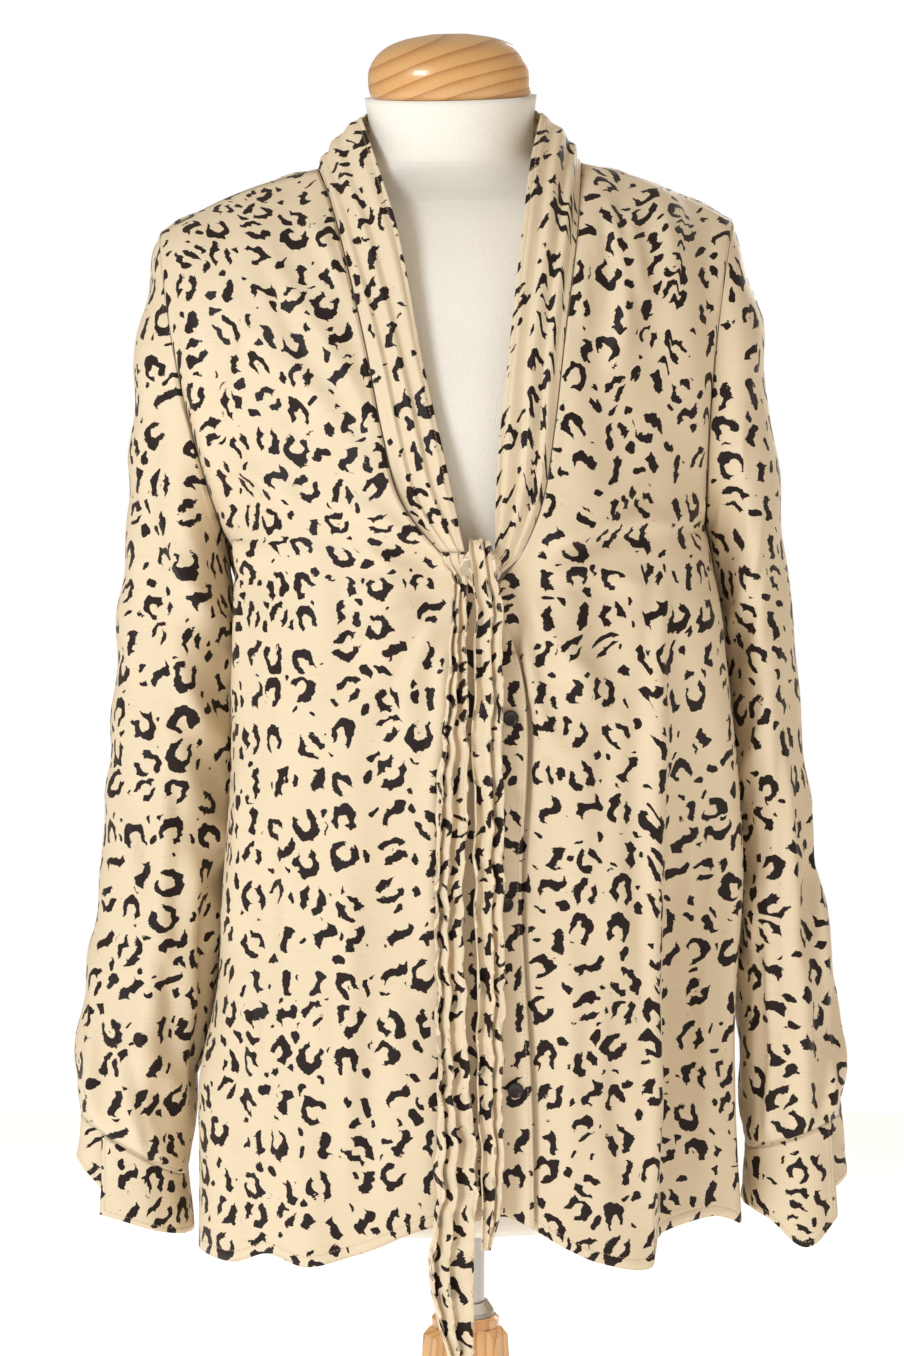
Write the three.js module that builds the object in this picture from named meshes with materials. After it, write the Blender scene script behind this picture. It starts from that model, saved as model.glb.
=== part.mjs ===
// A long-sleeved blouse with a knotted scarf collar, worn by a limbless dress form on a wooden stand.
// Lengths are in millimetres and +Z is up. The front faces -Y, and left and right are the viewer's.
import * as THREE from 'three';

// Driving sizes of the stand and the form
const BASE_SHIFT_X = 2.3;
const BASE_SHIFT_Y = -55;
const FORM_BOTTOM = 700;
const FORM_LEAN = THREE.MathUtils.degToRad(1.2);
const POLE_RADIUS = 12.8;
const HUB_TOP = 630;
const HUB_RADIUS = 22.5;
const HUB_DISC = 7;
const CORE_RADIUS = 10.4;
const CORE_LENGTH = 130;
const LEG_TOP = 622.6;
const LEG_THICKNESS = 19;
const FOOT_INNER = 226;
const FOOT_OUTER = 258;
const NECK_CENTRE_X = 5.5;
const NECK_TILT = THREE.MathUtils.degToRad(10);

// Driving sizes of the blouse
const CLOTH = 1.5;
const BAND_CLOTH = 1.8;
const TIE_CLOTH = 1.2;
const SEAM = 0.35;
const UNDERARM = 1148;
const SHOULDER_TURN = 170;
const ROUNDNESS = 2.4;
const KNOT_Z = 1140;
const HEM_HALF = 178;
const PLACKET_WIDTH = 25;
const PLACKET_CLOTH = 1;
const PLACKET_TOP = 1080;
const UNDERLAP = 4;
const UNDERLAP_TURN = 5;
const UNDERLAP_TOP = 1150;
const UNDERLAP_FADE = 20;
const BUTTON_RADIUS = 5;
const BUTTON_THICKNESS = 2.2;

// How finely each piece is divided
const FRONT_ROWS_LOW = 13;
const FRONT_ROWS_HIGH = 10;
const FRONT_COLUMNS = 17;
const BACK_COLUMNS = 22;
const SLEEVE_ROWS = 17;
const SLEEVE_START = 0.012;
const SLEEVE_FULLNESS = 0.86;
const FORM_STEPS = 26;

const LEFT = -1;
const RIGHT = 1;

// Half widths to each side where the front is widest, a little in front of the side seams
const BODY = [
  { z: 670, left: 176, right: 184 },
  { z: 780, left: 173, right: 181 },
  { z: 828, left: 165, right: 180 },
  { z: 875, left: 156, right: 181 },
  { z: 930, left: 152, right: 183 },
  { z: 1015, left: 146, right: 181 },
  { z: 1070, left: 143, right: 177 },
  { z: 1110, left: 145, right: 174 },
  { z: 1148, left: 151, right: 170 },
];
const WIDEST_Y = -30;
const SEAM_Y = 3;
const TUCK = 8;
const TUCK_LENGTH = 60;

// Inner edge of the left front: the collar seam down to the knot, then the free edge of the closure
const LEFT_EDGE = [
  { z: 700, x: 43, depth: 131 },
  { z: 796, x: 43, depth: 131 },
  { z: 922, x: 39, depth: 130 },
  { z: 1047, x: 44, depth: 130 },
  { z: 1110, x: 25, depth: 131 },
  { z: 1140, x: -8, depth: 131 },
  { z: 1171, x: -31, depth: 129 },
  { z: 1214, x: -42, depth: 124 },
  { z: 1271, x: -52, depth: 111 },
  { z: 1336, x: -66, depth: 80 },
  { z: 1370, x: -75, depth: 46 },
  { z: 1389, x: -82, depth: 18 },
];

// Inner edge of the right front: the collar seam, then its edge under the closure
const RIGHT_EDGE = [
  { z: 700, x: 18, depth: 131 },
  { z: 922, x: 15, depth: 130 },
  { z: 1047, x: 19, depth: 130 },
  { z: 1110, x: 24, depth: 131 },
  { z: 1140, x: 45, depth: 131 },
  { z: 1171, x: 58, depth: 129 },
  { z: 1214, x: 66, depth: 124 },
  { z: 1271, x: 74, depth: 111 },
  { z: 1336, x: 84, depth: 80 },
  { z: 1370, x: 88, depth: 46 },
  { z: 1389, x: 90, depth: 18 },
];

// Hem height across the front, from side seam to side seam, and half of the back's
const FRONT_HEM = [
  { x: -176, z: 690 },
  { x: -150, z: 689 },
  { x: -125, z: 697 },
  { x: -100, z: 692 },
  { x: -64, z: 701 },
  { x: -26, z: 716 },
  { x: 10, z: 721 },
  { x: 28, z: 722 },
  { x: 57, z: 705 },
  { x: 82, z: 692 },
  { x: 116, z: 684 },
  { x: 128, z: 697 },
  { x: 160, z: 704 },
  { x: 182, z: 697 },
];
const BACK_DEPTH = [
  { z: 670, back: 124 },
  { z: 780, back: 121 },
  { z: 960, back: 113 },
  { z: 1070, back: 108 },
  { z: 1148, back: 106 },
];
const BACK_HEM_MIDDLE = 682;
const BACK_HEM_SIDE = 690;
const BACK_HEM_WAVE = 7;
const BACK_HEM_WAVES = 9;

// Armhole loops: their highest and lowest points, their bow and their reach to the front and back
const ARMHOLE = {
  [LEFT]: { topX: 186, topZ: 1352, lowX: 147, lowZ: UNDERARM, bow: 5, front: 57, back: 55 },
  [RIGHT]: { topX: 188, topZ: 1352, lowX: 166, lowZ: UNDERARM, bow: -7, front: 57, back: 55 },
};

// Back neck, and the shoulder seams that meet it
const NECK_SIDE = { [LEFT]: 82, [RIGHT]: 90 };
const NECK_SIDE_Z = 1389;
const NECK_SIDE_Y = -18;
const BACK_NECK_SHARE = 5 / 11;
const NECK_BACK_Y = 56;
const NECK_BACK_Z = 1400;
const SHOULDER_ARCH = 5;
const BACK_CURVE = 0.75;
const ARMHOLE_OPEN = 0.1;

// Large folds: soft ridges (+) and troughs (-) along lines in the front view
const FRONT_FOLDS = [
  { x1: 2, z1: 1132, x2: -70, z2: 1215, width: 11, height: 5 },
  { x1: -8, z1: 1126, x2: -100, z2: 1160, width: 12, height: -4 },
  { x1: -10, z1: 1112, x2: -95, z2: 1085, width: 13, height: 4 },
  { x1: -20, z1: 1100, x2: -62, z2: 985, width: 13, height: -4 },
  { x1: 48, z1: 1128, x2: 120, z2: 1178, width: 12, height: 4 },
  { x1: 48, z1: 1118, x2: 135, z2: 1120, width: 12, height: -5 },
  { x1: 50, z1: 1104, x2: 108, z2: 1020, width: 13, height: 5 },
  { x1: -128, z1: 1330, x2: -70, z2: 1215, width: 13, height: 4 },
  { x1: 128, z1: 1340, x2: 104, z2: 1250, width: 11, height: 4 },
  { x1: 104, z1: 1350, x2: 92, z2: 1230, width: 9, height: -4 },
  { x1: -118, z1: 980, x2: -128, z2: 690, width: 14, height: -6 },
  { x1: -92, z1: 900, x2: -98, z2: 690, width: 15, height: 5 },
  { x1: 74, z1: 900, x2: 78, z2: 690, width: 16, height: 5 },
];
const BACK_FOLDS = [
  { x1: -118, z1: 1080, x2: -128, z2: 680, width: 15, height: -7 },
  { x1: -74, z1: 1150, x2: -86, z2: 680, width: 17, height: 7 },
  { x1: -30, z1: 1020, x2: -36, z2: 680, width: 16, height: -6 },
  { x1: 22, z1: 1120, x2: 20, z2: 680, width: 18, height: 6 },
  { x1: 70, z1: 1050, x2: 80, z2: 680, width: 16, height: -7 },
  { x1: 118, z1: 1140, x2: 130, z2: 680, width: 17, height: 6 },
];

// The deep pleat that falls in the right front, where the cloth steps back
const STEP = { topZ: 1085, fullZ: 900, topX: 127, lowX: 120, width: 8, depth: 42 };

// Sleeves, ring by ring: outer and inner points, middle in Y and reach to the front and back
const SLEEVE = {
  [LEFT]: [
    { outX: 186, outZ: 1352, inX: 147, inZ: 1147.3, y: -1, reach: 56 },
    { outX: 195, outZ: 1318, inX: 147.5, inZ: 1138, y: 3, reach: 60 },
    { outX: 205, outZ: 1282, inX: 146, inZ: 1124, y: 7, reach: 62 },
    { outX: 209, outZ: 1236, inX: 144, inZ: 1104, y: 12, reach: 61 },
    { outX: 213, outZ: 1180, inX: 142, inZ: 1076, y: 16, reach: 60 },
    { outX: 220, outZ: 1110, inX: 142.5, inZ: 1040, y: 18, reach: 58 },
    { outX: 229, outZ: 1022, inX: 146.5, inZ: 985, y: 18, reach: 56 },
    { outX: 238, outZ: 944, inX: 151.5, inZ: 922, y: 16, reach: 54 },
    { outX: 248, outZ: 862, inX: 162, inZ: 850, y: 10, reach: 50 },
    { outX: 255, outZ: 806, inX: 176, inZ: 786, y: 4, reach: 44 },
    { outX: 254, outZ: 773, inX: 184, inZ: 731, y: 0, reach: 38 },
  ],
  [RIGHT]: [
    { outX: 188, outZ: 1352, inX: 166.6, inZ: 1147.3, y: -1, reach: 56 },
    { outX: 197, outZ: 1318, inX: 168, inZ: 1138, y: 3, reach: 60 },
    { outX: 206, outZ: 1282, inX: 170, inZ: 1124, y: 7, reach: 62 },
    { outX: 211, outZ: 1236, inX: 173.5, inZ: 1104, y: 12, reach: 62 },
    { outX: 217, outZ: 1180, inX: 176.5, inZ: 1076, y: 16, reach: 62 },
    { outX: 223, outZ: 1110, inX: 179, inZ: 1040, y: 18, reach: 62 },
    { outX: 230, outZ: 1020, inX: 181.5, inZ: 985, y: 18, reach: 61 },
    { outX: 238, outZ: 940, inX: 182, inZ: 922, y: 16, reach: 58 },
    { outX: 245, outZ: 862, inX: 182, inZ: 850, y: 10, reach: 53 },
    { outX: 251, outZ: 800, inX: 184, inZ: 786, y: 4, reach: 46 },
    { outX: 251, outZ: 764, inX: 187, inZ: 742, y: 0, reach: 40 },
  ],
};

// Lengthwise sleeve folds: where round the sleeve, how far down they run, and their height
const SLEEVE_FOLDS = {
  [LEFT]: [
    { at: 62, top: 0.12, low: 0.62, width: 16, height: -6 },
    { at: 104, top: 0.2, low: 1, width: 20, height: 5 },
    { at: 140, top: 0.1, low: 0.7, width: 16, height: -6 },
    { at: 232, top: 0.15, low: 0.95, width: 20, height: -6 },
    { at: 296, top: 0.3, low: 1, width: 18, height: 5 },
  ],
  [RIGHT]: [
    { at: 52, top: 0.45, low: 1, width: 15, height: -6 },
    { at: 96, top: 0.15, low: 0.9, width: 20, height: 5 },
    { at: 136, top: 0.1, low: 0.8, width: 16, height: -6 },
    { at: 228, top: 0.2, low: 1, width: 20, height: -6 },
    { at: 300, top: 0.2, low: 0.8, width: 18, height: 5 },
  ],
};

// Cuffs hang open: how far the lower edge drops below the seam round each one, in degrees from outside
const CUFF = {
  [LEFT]: {
    start: 58,
    turn: 372,
    drops: [
      { at: 40, drop: 56 },
      { at: 100, drop: 46 },
      { at: 180, drop: 38 },
      { at: 270, drop: 42 },
      { at: 360, drop: 28 },
      { at: 440, drop: 42 },
    ],
  },
  [RIGHT]: {
    start: 44,
    turn: 378,
    drops: [
      { at: 40, drop: 62 },
      { at: 84, drop: 74 },
      { at: 130, drop: 46 },
      { at: 180, drop: 38 },
      { at: 270, drop: 44 },
      { at: 360, drop: 40 },
      { at: 430, drop: 50 },
    ],
  },
};
const CUFF_OVERLAP_IN = 3.2;
const CUFF_FLARE = 3;

// Free edge of the scarf collar, from the knot up each side of the V to the neck
const COLLAR_FREE = {
  [LEFT]: [
    { z: 1140, x: 8, y: -136, top: 1140 },
    { z: 1171, x: 2, y: -135, top: 1171 },
    { z: 1214, x: -5, y: -130, top: 1208 },
    { z: 1271, x: -16, y: -116, top: 1262 },
    { z: 1336, x: -30, y: -88, top: 1344 },
    { z: 1370, x: -43, y: -60, top: 1389 },
    { z: 1389, x: -53, y: -28, top: 1421 },
  ],
  [RIGHT]: [
    { z: 1140, x: 27, y: -136, top: 1140 },
    { z: 1171, x: 28, y: -135, top: 1171 },
    { z: 1214, x: 31, y: -130, top: 1208 },
    { z: 1271, x: 38, y: -116, top: 1262 },
    { z: 1336, x: 49, y: -88, top: 1344 },
    { z: 1370, x: 56, y: -60, top: 1389 },
    { z: 1389, x: 64, y: -28, top: 1421 },
  ],
};
const COLLAR_STAND = { backY: 60, topZ: 1440 };
const COLLAR_GAP = 1;
const COLLAR_ACROSS = 5;
const COLLAR_ROUND = 14;

// Knot sections from the top down
const KNOT = [
  { z: 1148, halfWidth: 5, halfDepth: 3, x: 18, y: -139.6 },
  { z: 1145, halfWidth: 9.5, halfDepth: 5.5, x: 18, y: -140.1 },
  { z: 1139, halfWidth: 11.5, halfDepth: 7, x: 18, y: -141.1 },
  { z: 1130, halfWidth: 11, halfDepth: 7, x: 18.5, y: -141.1 },
  { z: 1122, halfWidth: 9.5, halfDepth: 6, x: 19, y: -141 },
  { z: 1118, halfWidth: 7.5, halfDepth: 4.5, x: 19, y: -141 },
];

// Tie ends, section by section: both edges and the height of the lengthwise folds
const TIE_LONG = [
  { z: 1117, left: 8, right: 22, y: -142, fold: 2.6 },
  { z: 1095, left: 2, right: 20, y: -142, fold: 3.2 },
  { z: 1048, left: -9, right: 14, y: -142, fold: 3.6 },
  { z: 930, left: -11, right: 12, y: -142, fold: 3.8 },
  { z: 799, left: -14, right: 10, y: -142, fold: 3.8 },
  { z: 748, left: -19, right: 9, y: -142, fold: 3.6 },
  { z: 717, left: -25, right: 8.5, y: -142, fold: 3.4 },
  { z: 684, left: -29, right: 8, y: -142, fold: 3 },
  { z: 640, left: -15, right: 6, y: -142, fold: 2 },
  { z: 596, left: -1, right: 4, y: -142, fold: 0.6 },
];
const TIE_SHORT = [
  { z: 1117, left: 22.8, right: 29, y: -140, fold: 1.4 },
  { z: 1095, left: 21, right: 30, y: -141, fold: 2 },
  { z: 1048, left: 15, right: 31, y: -141, fold: 2.8 },
  { z: 930, left: 13, right: 29, y: -141, fold: 3 },
  { z: 799, left: 11, right: 26.5, y: -141, fold: 3 },
  { z: 750, left: 10, right: 26, y: -141, fold: 2.8 },
  { z: 728, left: 9.6, right: 24.5, y: -141, fold: 2 },
  { z: 704, left: 9.4, right: 13, y: -141, fold: 0.6 },
];
const TIE_LONG_WAVES = 1.5;
const TIE_SHORT_WAVES = 1;

const BUTTON_HEIGHTS = [1036, 920, 803];
const BUTTON_FROM_EDGE = 10;

// Dress form from its bottom to the top of the neck
const TORSO = [
  { z: 700, width: 128, front: 86, back: 80, x: 0, y: 0, tilt: 0 },
  { z: 706, width: 137, front: 95, back: 88, x: 0, y: 0, tilt: 0 },
  { z: 770, width: 145, front: 100, back: 95, x: 0, y: 0, tilt: 0 },
  { z: 830, width: 141, front: 98, back: 92, x: 0, y: 0, tilt: 0 },
  { z: 890, width: 130, front: 95, back: 86, x: 0, y: 0, tilt: 0 },
  { z: 960, width: 119, front: 95, back: 80, x: 0, y: 0, tilt: 0 },
  { z: 1030, width: 117, front: 98, back: 80, x: 0, y: 0, tilt: 0 },
  { z: 1100, width: 124, front: 110, back: 88, x: 0, y: 0, tilt: 0 },
  { z: 1160, width: 131, front: 119, back: 94, x: 0, y: 0, tilt: 0 },
  { z: 1220, width: 140, front: 116, back: 97, x: 1, y: 0, tilt: 0 },
  { z: 1270, width: 147, front: 100, back: 88, x: 1, y: 0, tilt: 0 },
  { z: 1318, width: 154, front: 81, back: 74, x: 1, y: 0, tilt: 0 },
  { z: 1348.3, width: 152.5, front: 61, back: 58, x: 3, y: 0, tilt: 0 },
  { z: 1364.3, width: 131.5, front: 50, back: 49, x: 3, y: 0, tilt: 0 },
  { z: 1375.8, width: 100, front: 51, back: 47, x: 3, y: -1, tilt: 0.2 },
  { z: 1385, width: 72, front: 53, back: 47, x: 4, y: -4, tilt: 0.4 },
  { z: 1396, width: 56, front: 51, back: 47, x: 5, y: -8, tilt: 0.7 },
  { z: 1415, width: 53.5, front: 49, back: 48, x: 5.5, y: -12, tilt: 0.9 },
  { z: 1434, width: 56, front: 50, back: 50, x: 5.5, y: -15, tilt: 1 },
];
const CAP_RADIUS = 53.5;
const CAP_LIFT = 1434.35;
const CAP_Y = -15;
const CAP = [
  { height: 0, share: 0.955 },
  { height: 3, share: 0.985 },
  { height: 10, share: 1 },
  { height: 18, share: 0.985 },
  { height: 26, share: 0.9 },
  { height: 32.5, share: 0.75 },
  { height: 37, share: 0.52 },
  { height: 39.5, share: 0.24 },
];

const cloth = new THREE.MeshStandardMaterial({ color: 0xf0dcb8, roughness: 0.55, metalness: 0 });
const button = new THREE.MeshStandardMaterial({ color: 0x1f1a18, roughness: 0.3, metalness: 0 });
const jersey = new THREE.MeshStandardMaterial({ color: 0xf0e9da, roughness: 0.9, metalness: 0 });
const wood = new THREE.MeshStandardMaterial({ color: 0xd79a58, roughness: 0.3, metalness: 0 });
const steel = new THREE.MeshStandardMaterial({ color: 0xc9c6c0, roughness: 0.3, metalness: 1 });

// Small helpers
const clamp = (value, low, high) => Math.min(Math.max(value, low), high);
const mix = (a, b, t) => a + (b - a) * t;
const radians = THREE.MathUtils.degToRad;

function smooth(value) {
  const t = clamp(value, 0, 1);
  return t * t * (3 - 2 * t);
}

// One column of a table at a value of its key, on a smooth curve through the rows
function read(rows, key, column, value) {
  const up = rows[rows.length - 1][key] > rows[0][key] ? 1 : -1;
  let i = 0;
  while (i < rows.length - 2 && up * value > up * rows[i + 1][key]) i += 1;
  const slope = (j) => {
    const a = rows[Math.max(j - 1, 0)];
    const b = rows[Math.min(j + 1, rows.length - 1)];
    return (b[column] - a[column]) / (b[key] - a[key]);
  };
  const span = rows[i + 1][key] - rows[i][key];
  const t = clamp((value - rows[i][key]) / span, 0, 1);
  const a = rows[i][column];
  const b = rows[i + 1][column];
  const bend = span * (slope(i) * t * (1 - t) ** 2 - slope(i + 1) * t * t * (1 - t));
  return mix(a, b, smooth(t)) + bend;
}

// Height of the folds at a place in the front or back view
function foldHeight(folds, x, z) {
  let height = 0;
  for (const fold of folds) {
    const dx = fold.x2 - fold.x1;
    const dz = fold.z2 - fold.z1;
    const along = ((x - fold.x1) * dx + (z - fold.z1) * dz) / (dx * dx + dz * dz);
    const t = clamp(along, 0, 1);
    const off = Math.hypot(x - fold.x1 - t * dx, z - fold.z1 - t * dz) / fold.width;
    const fade = smooth(along * 4) * smooth((1.05 - along) * (dz < -150 ? 20 : 3));
    height += fold.height * Math.exp(-off * off) * fade;
  }
  return height;
}

// A point of an armhole loop, by its angle from the underarm over the front to the shoulder and on
function armhole(side, degrees) {
  const loop = ARMHOLE[side];
  const angle = radians(degrees);
  const up = (1 - Math.cos(angle)) / 2;
  const reach = Math.sin(angle) > 0 ? -loop.front : loop.back;
  const bow = loop.bow * Math.sin(angle) ** 2;
  return new THREE.Vector3(
    side * (mix(loop.lowX, loop.topX, up) + bow),
    reach * Math.abs(Math.sin(angle)),
    mix(loop.lowZ, loop.topZ, up),
  );
}

// Widest line of the body, and the side seam that lies a little behind and inside it
function bodyWidth(side, z) {
  return read(BODY, 'z', side === LEFT ? 'left' : 'right', z);
}

function sideSeam(side, z) {
  const near = smooth((UNDERARM - z) / TUCK_LENGTH);
  const tuck = mix(bodyWidth(side, UNDERARM) - ARMHOLE[side].lowX, TUCK, near);
  return new THREE.Vector3(side * (bodyWidth(side, z) - tuck), SEAM_Y * near, z);
}

// Share of the full depth at a place across a ring that is widest at x = 1
function roundness(x) {
  return Math.max(1 - Math.abs(x) ** ROUNDNESS, 0) ** (1 / ROUNDNESS);
}

// How far the deep pleat of the right front sets the cloth back
function stepBack(x, z, width) {
  const drop = smooth((STEP.topZ - z) / (STEP.topZ - STEP.fullZ));
  const edge = mix(STEP.topX, STEP.lowX, clamp((STEP.topZ - z) / 380, 0, 1));
  const beyond = clamp((x - edge) / (width - edge), 0, 1);
  return STEP.depth * drop * smooth((x - edge) / STEP.width) * (1 - beyond ** 4);
}

// A point of a front: level 0 is the hem, 1 the height of the underarm and 2 the shoulder seam
function frontPoint(side, share, level) {
  const edges = side === LEFT ? LEFT_EDGE : RIGHT_EDGE;
  const low = Math.min(level, 1);
  const high = Math.max(level - 1, 0);
  const hemAt = (x) => read(FRONT_HEM, 'x', 'z', x);
  const hemIn = hemAt(edges[0].x);
  const hemOut = hemAt(side * HEM_HALF);
  const innerZ = level <= 1 ? mix(hemIn, KNOT_Z, low) : mix(KNOT_Z, NECK_SIDE_Z, high);
  const innerX = read(edges, 'z', 'x', innerZ);
  const innerY = -read(edges, 'z', 'depth', innerZ);
  const outer = level <= 1 ? sideSeam(side, mix(hemOut, UNDERARM, low)) : armhole(side, SHOULDER_TURN * high);

  // The ring turns at its widest line and goes on behind it to the side seam
  const lowered = smooth((UNDERARM - outer.z) / TUCK_LENGTH);
  const widest = mix(Math.abs(outer.x), bodyWidth(side, outer.z), lowered);
  const turnY = mix(outer.y, WIDEST_Y, lowered);
  const { x: flatX, behind } = frontColumn(side, share, innerX, side * widest);
  const x = mix(flatX, outer.x, 1 - Math.cos(behind * Math.PI / 2));
  const open = 1 + ARMHOLE_OPEN * smooth(high * 3);
  const depthAt = (value) => roundness(value / (widest * open)) - roundness(1 / open);
  let y = turnY + ((innerY - turnY) * depthAt(flatX)) / depthAt(innerX);
  y = mix(y, outer.y, Math.sin(behind * Math.PI / 2));
  const across = (flatX - innerX) / (side * widest - innerX);
  let z = mix(innerZ, outer.z, across);
  z += smooth(high * 1.4 - 0.4) * SHOULDER_ARCH * Math.sin(Math.PI * across);
  if (level < 1) z += (hemAt(flatX) - mix(hemIn, hemOut, across)) * (1 - low) ** 2;

  const calm = smooth((1 - across) * 6);
  y -= foldHeight(FRONT_FOLDS, x, z) * calm * smooth((2 - level) * 4);
  if (side === RIGHT) {
    y += stepBack(flatX, z, widest);
    const cover = read(LEFT_EDGE, 'z', 'x', z) + UNDERLAP;
    y += UNDERLAP * smooth((cover - x) / UNDERLAP_TURN) * smooth((UNDERLAP_TOP - z) / UNDERLAP_FADE);
  }
  return new THREE.Vector3(x, y, z);
}

// Columns of a front: the placket's width, then closer together to the widest line, then behind it
function frontColumn(side, share, innerX, widestX) {
  const column = share * FRONT_COLUMNS;
  const strip = 2;
  const turn = FRONT_COLUMNS - 2;
  const stripX = innerX + side * PLACKET_WIDTH;
  if (column <= strip) return { x: mix(innerX, stripX, column / strip), behind: 0 };
  const t = Math.min((column - strip) / (turn - strip), 1);
  return { x: mix(stripX, widestX, Math.sin(t * Math.PI / 2)), behind: Math.max(column - turn, 0) / 2 };
}

// Top edge of the back: shoulder seams outside, neck curve in the middle
function backTop(share) {
  const side = share < 0 ? LEFT : RIGHT;
  const away = Math.abs(share);
  const corner = NECK_SIDE[side];
  if (away <= BACK_NECK_SHARE) {
    const angle = (away / BACK_NECK_SHARE) * Math.PI / 2;
    return new THREE.Vector3(
      side * corner * Math.sin(angle),
      mix(NECK_SIDE_Y, NECK_BACK_Y, Math.cos(angle)),
      mix(NECK_SIDE_Z, NECK_BACK_Z, Math.cos(angle)),
    );
  }
  const t = (away - BACK_NECK_SHARE) / (1 - BACK_NECK_SHARE);
  const end = armhole(side, SHOULDER_TURN);
  const start = new THREE.Vector3(side * corner, NECK_SIDE_Y, NECK_SIDE_Z);
  const point = start.lerp(end, t);
  point.z += SHOULDER_ARCH * Math.sin(Math.PI * t);
  point.y += 1.5 * SEAM;
  return point;
}

// A point of the back: level 0 is the hem, 1 the height of the underarm and 2 the top edge
function backPoint(share, level) {
  const side = share < 0 ? LEFT : RIGHT;
  const away = Math.abs(share);
  const low = Math.min(level, 1);
  const hem = mix(BACK_HEM_MIDDLE, BACK_HEM_SIDE, away ** 3)
    + BACK_HEM_WAVE * Math.sin(away * BACK_HEM_WAVES) * (1 - away);
  const z = mix(hem, UNDERARM, low);
  const seam = sideSeam(side, z);
  const round = roundness(Math.sin(away * Math.PI / 2));
  const x = seam.x * Math.sin(away * Math.PI / 2);
  const depth = read(BACK_DEPTH, 'z', 'back', z);
  const folds = foldHeight(BACK_FOLDS, x, z) * smooth((1 - away) * 6);
  const point = new THREE.Vector3(x, seam.y + SEAM + (depth - seam.y) * round + folds, z);
  if (level <= 1) return point;
  const turn = (level - 1) * Math.PI / 2;
  const fall = Math.cos(turn) ** BACK_CURVE;
  const rise = Math.sin(turn) ** BACK_CURVE;
  const over = (start, end) => new THREE.Vector3(
    mix(start.x, end.x, level - 1),
    mix(end.y, start.y, fall),
    mix(start.z, end.z, rise),
  );
  const edge = over(new THREE.Vector3(seam.x, seam.y + SEAM, z), backTop(side));
  const shift = armhole(side, -(360 - SHOULDER_TURN) * (level - 1)).sub(edge);
  shift.y += 1.5 * SEAM;
  const placed = over(point, backTop(share));
  placed.x += shift.x * away ** 3;
  placed.y += shift.y * (1 - round);
  placed.z += shift.z * away ** 3;
  return placed;
}

// Signed volume of a triangle list, to see which way it faces
function signedVolume(points, triangles) {
  let volume = 0;
  for (const [a, b, c] of triangles) {
    volume += points[a].dot(new THREE.Vector3().crossVectors(points[b], points[c])) / 6;
  }
  return volume;
}

function makeMesh(name, points, triangles, material) {
  const outward = signedVolume(points, triangles) > 0;
  const geometry = new THREE.BufferGeometry().setFromPoints(points);
  geometry.setIndex(triangles.flatMap(([a, b, c]) => (outward ? [a, b, c] : [a, c, b])));
  geometry.computeVertexNormals();
  const mesh = new THREE.Mesh(geometry, material);
  mesh.name = name;
  return mesh;
}

// Unit normals of a grid of points, from its neighbours along both ways. Where two pieces meet at a
// seam the normal is kept in the plane of the seam, so that their walls end face to face.
function gridNormals(grid, round, isSeam = () => false) {
  const rows = grid.length;
  const columns = grid[0].length;
  return grid.map((row, i) => row.map((point, j) => {
    const before = round ? (j + columns - 1) % columns : Math.max(j - 1, 0);
    const after = round ? (j + 1) % columns : Math.min(j + 1, columns - 1);
    const along = grid[Math.min(i + 1, rows - 1)][j].clone().sub(grid[Math.max(i - 1, 0)][j]);
    const across = row[after].clone().sub(row[before]);
    const normal = across.cross(along);
    if (isSeam(i, j)) normal.y = 0;
    return normal.normalize();
  }));
}

// A wall of cloth behind a grid of points of its face; round joins the last column to the first
function wall(name, grid, thickness, material, { round = false, inward = 1, isSeam } = {}) {
  const rows = grid.length;
  const columns = grid[0].length;
  const normals = gridNormals(grid, round, isSeam);
  const face = grid.flat();
  const back = face.map((point, k) => {
    const normal = normals[Math.floor(k / columns)][k % columns];
    return point.clone().addScaledVector(normal, -inward * thickness);
  });
  const triangles = [];
  const quad = (a, b, c, d) => triangles.push([a, b, c], [a, c, d]);
  const at = (i, j) => i * columns + (j % columns);
  const behind = face.length;
  const lastColumn = round ? columns : columns - 1;
  for (let i = 0; i < rows - 1; i += 1) {
    for (let j = 0; j < lastColumn; j += 1) {
      quad(at(i, j), at(i, j + 1), at(i + 1, j + 1), at(i + 1, j));
      quad(behind + at(i, j), behind + at(i + 1, j), behind + at(i + 1, j + 1), behind + at(i, j + 1));
    }
  }
  for (let j = 0; j < lastColumn; j += 1) {
    quad(at(0, j + 1), at(0, j), behind + at(0, j), behind + at(0, j + 1));
    const top = rows - 1;
    quad(at(top, j), at(top, j + 1), behind + at(top, j + 1), behind + at(top, j));
  }
  if (!round) {
    const end = columns - 1;
    for (let i = 0; i < rows - 1; i += 1) {
      quad(at(i, 0), at(i + 1, 0), behind + at(i + 1, 0), behind + at(i, 0));
      quad(at(i + 1, end), at(i, end), behind + at(i, end), behind + at(i + 1, end));
    }
  }
  return makeMesh(name, face.concat(back), triangles, material);
}

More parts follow.
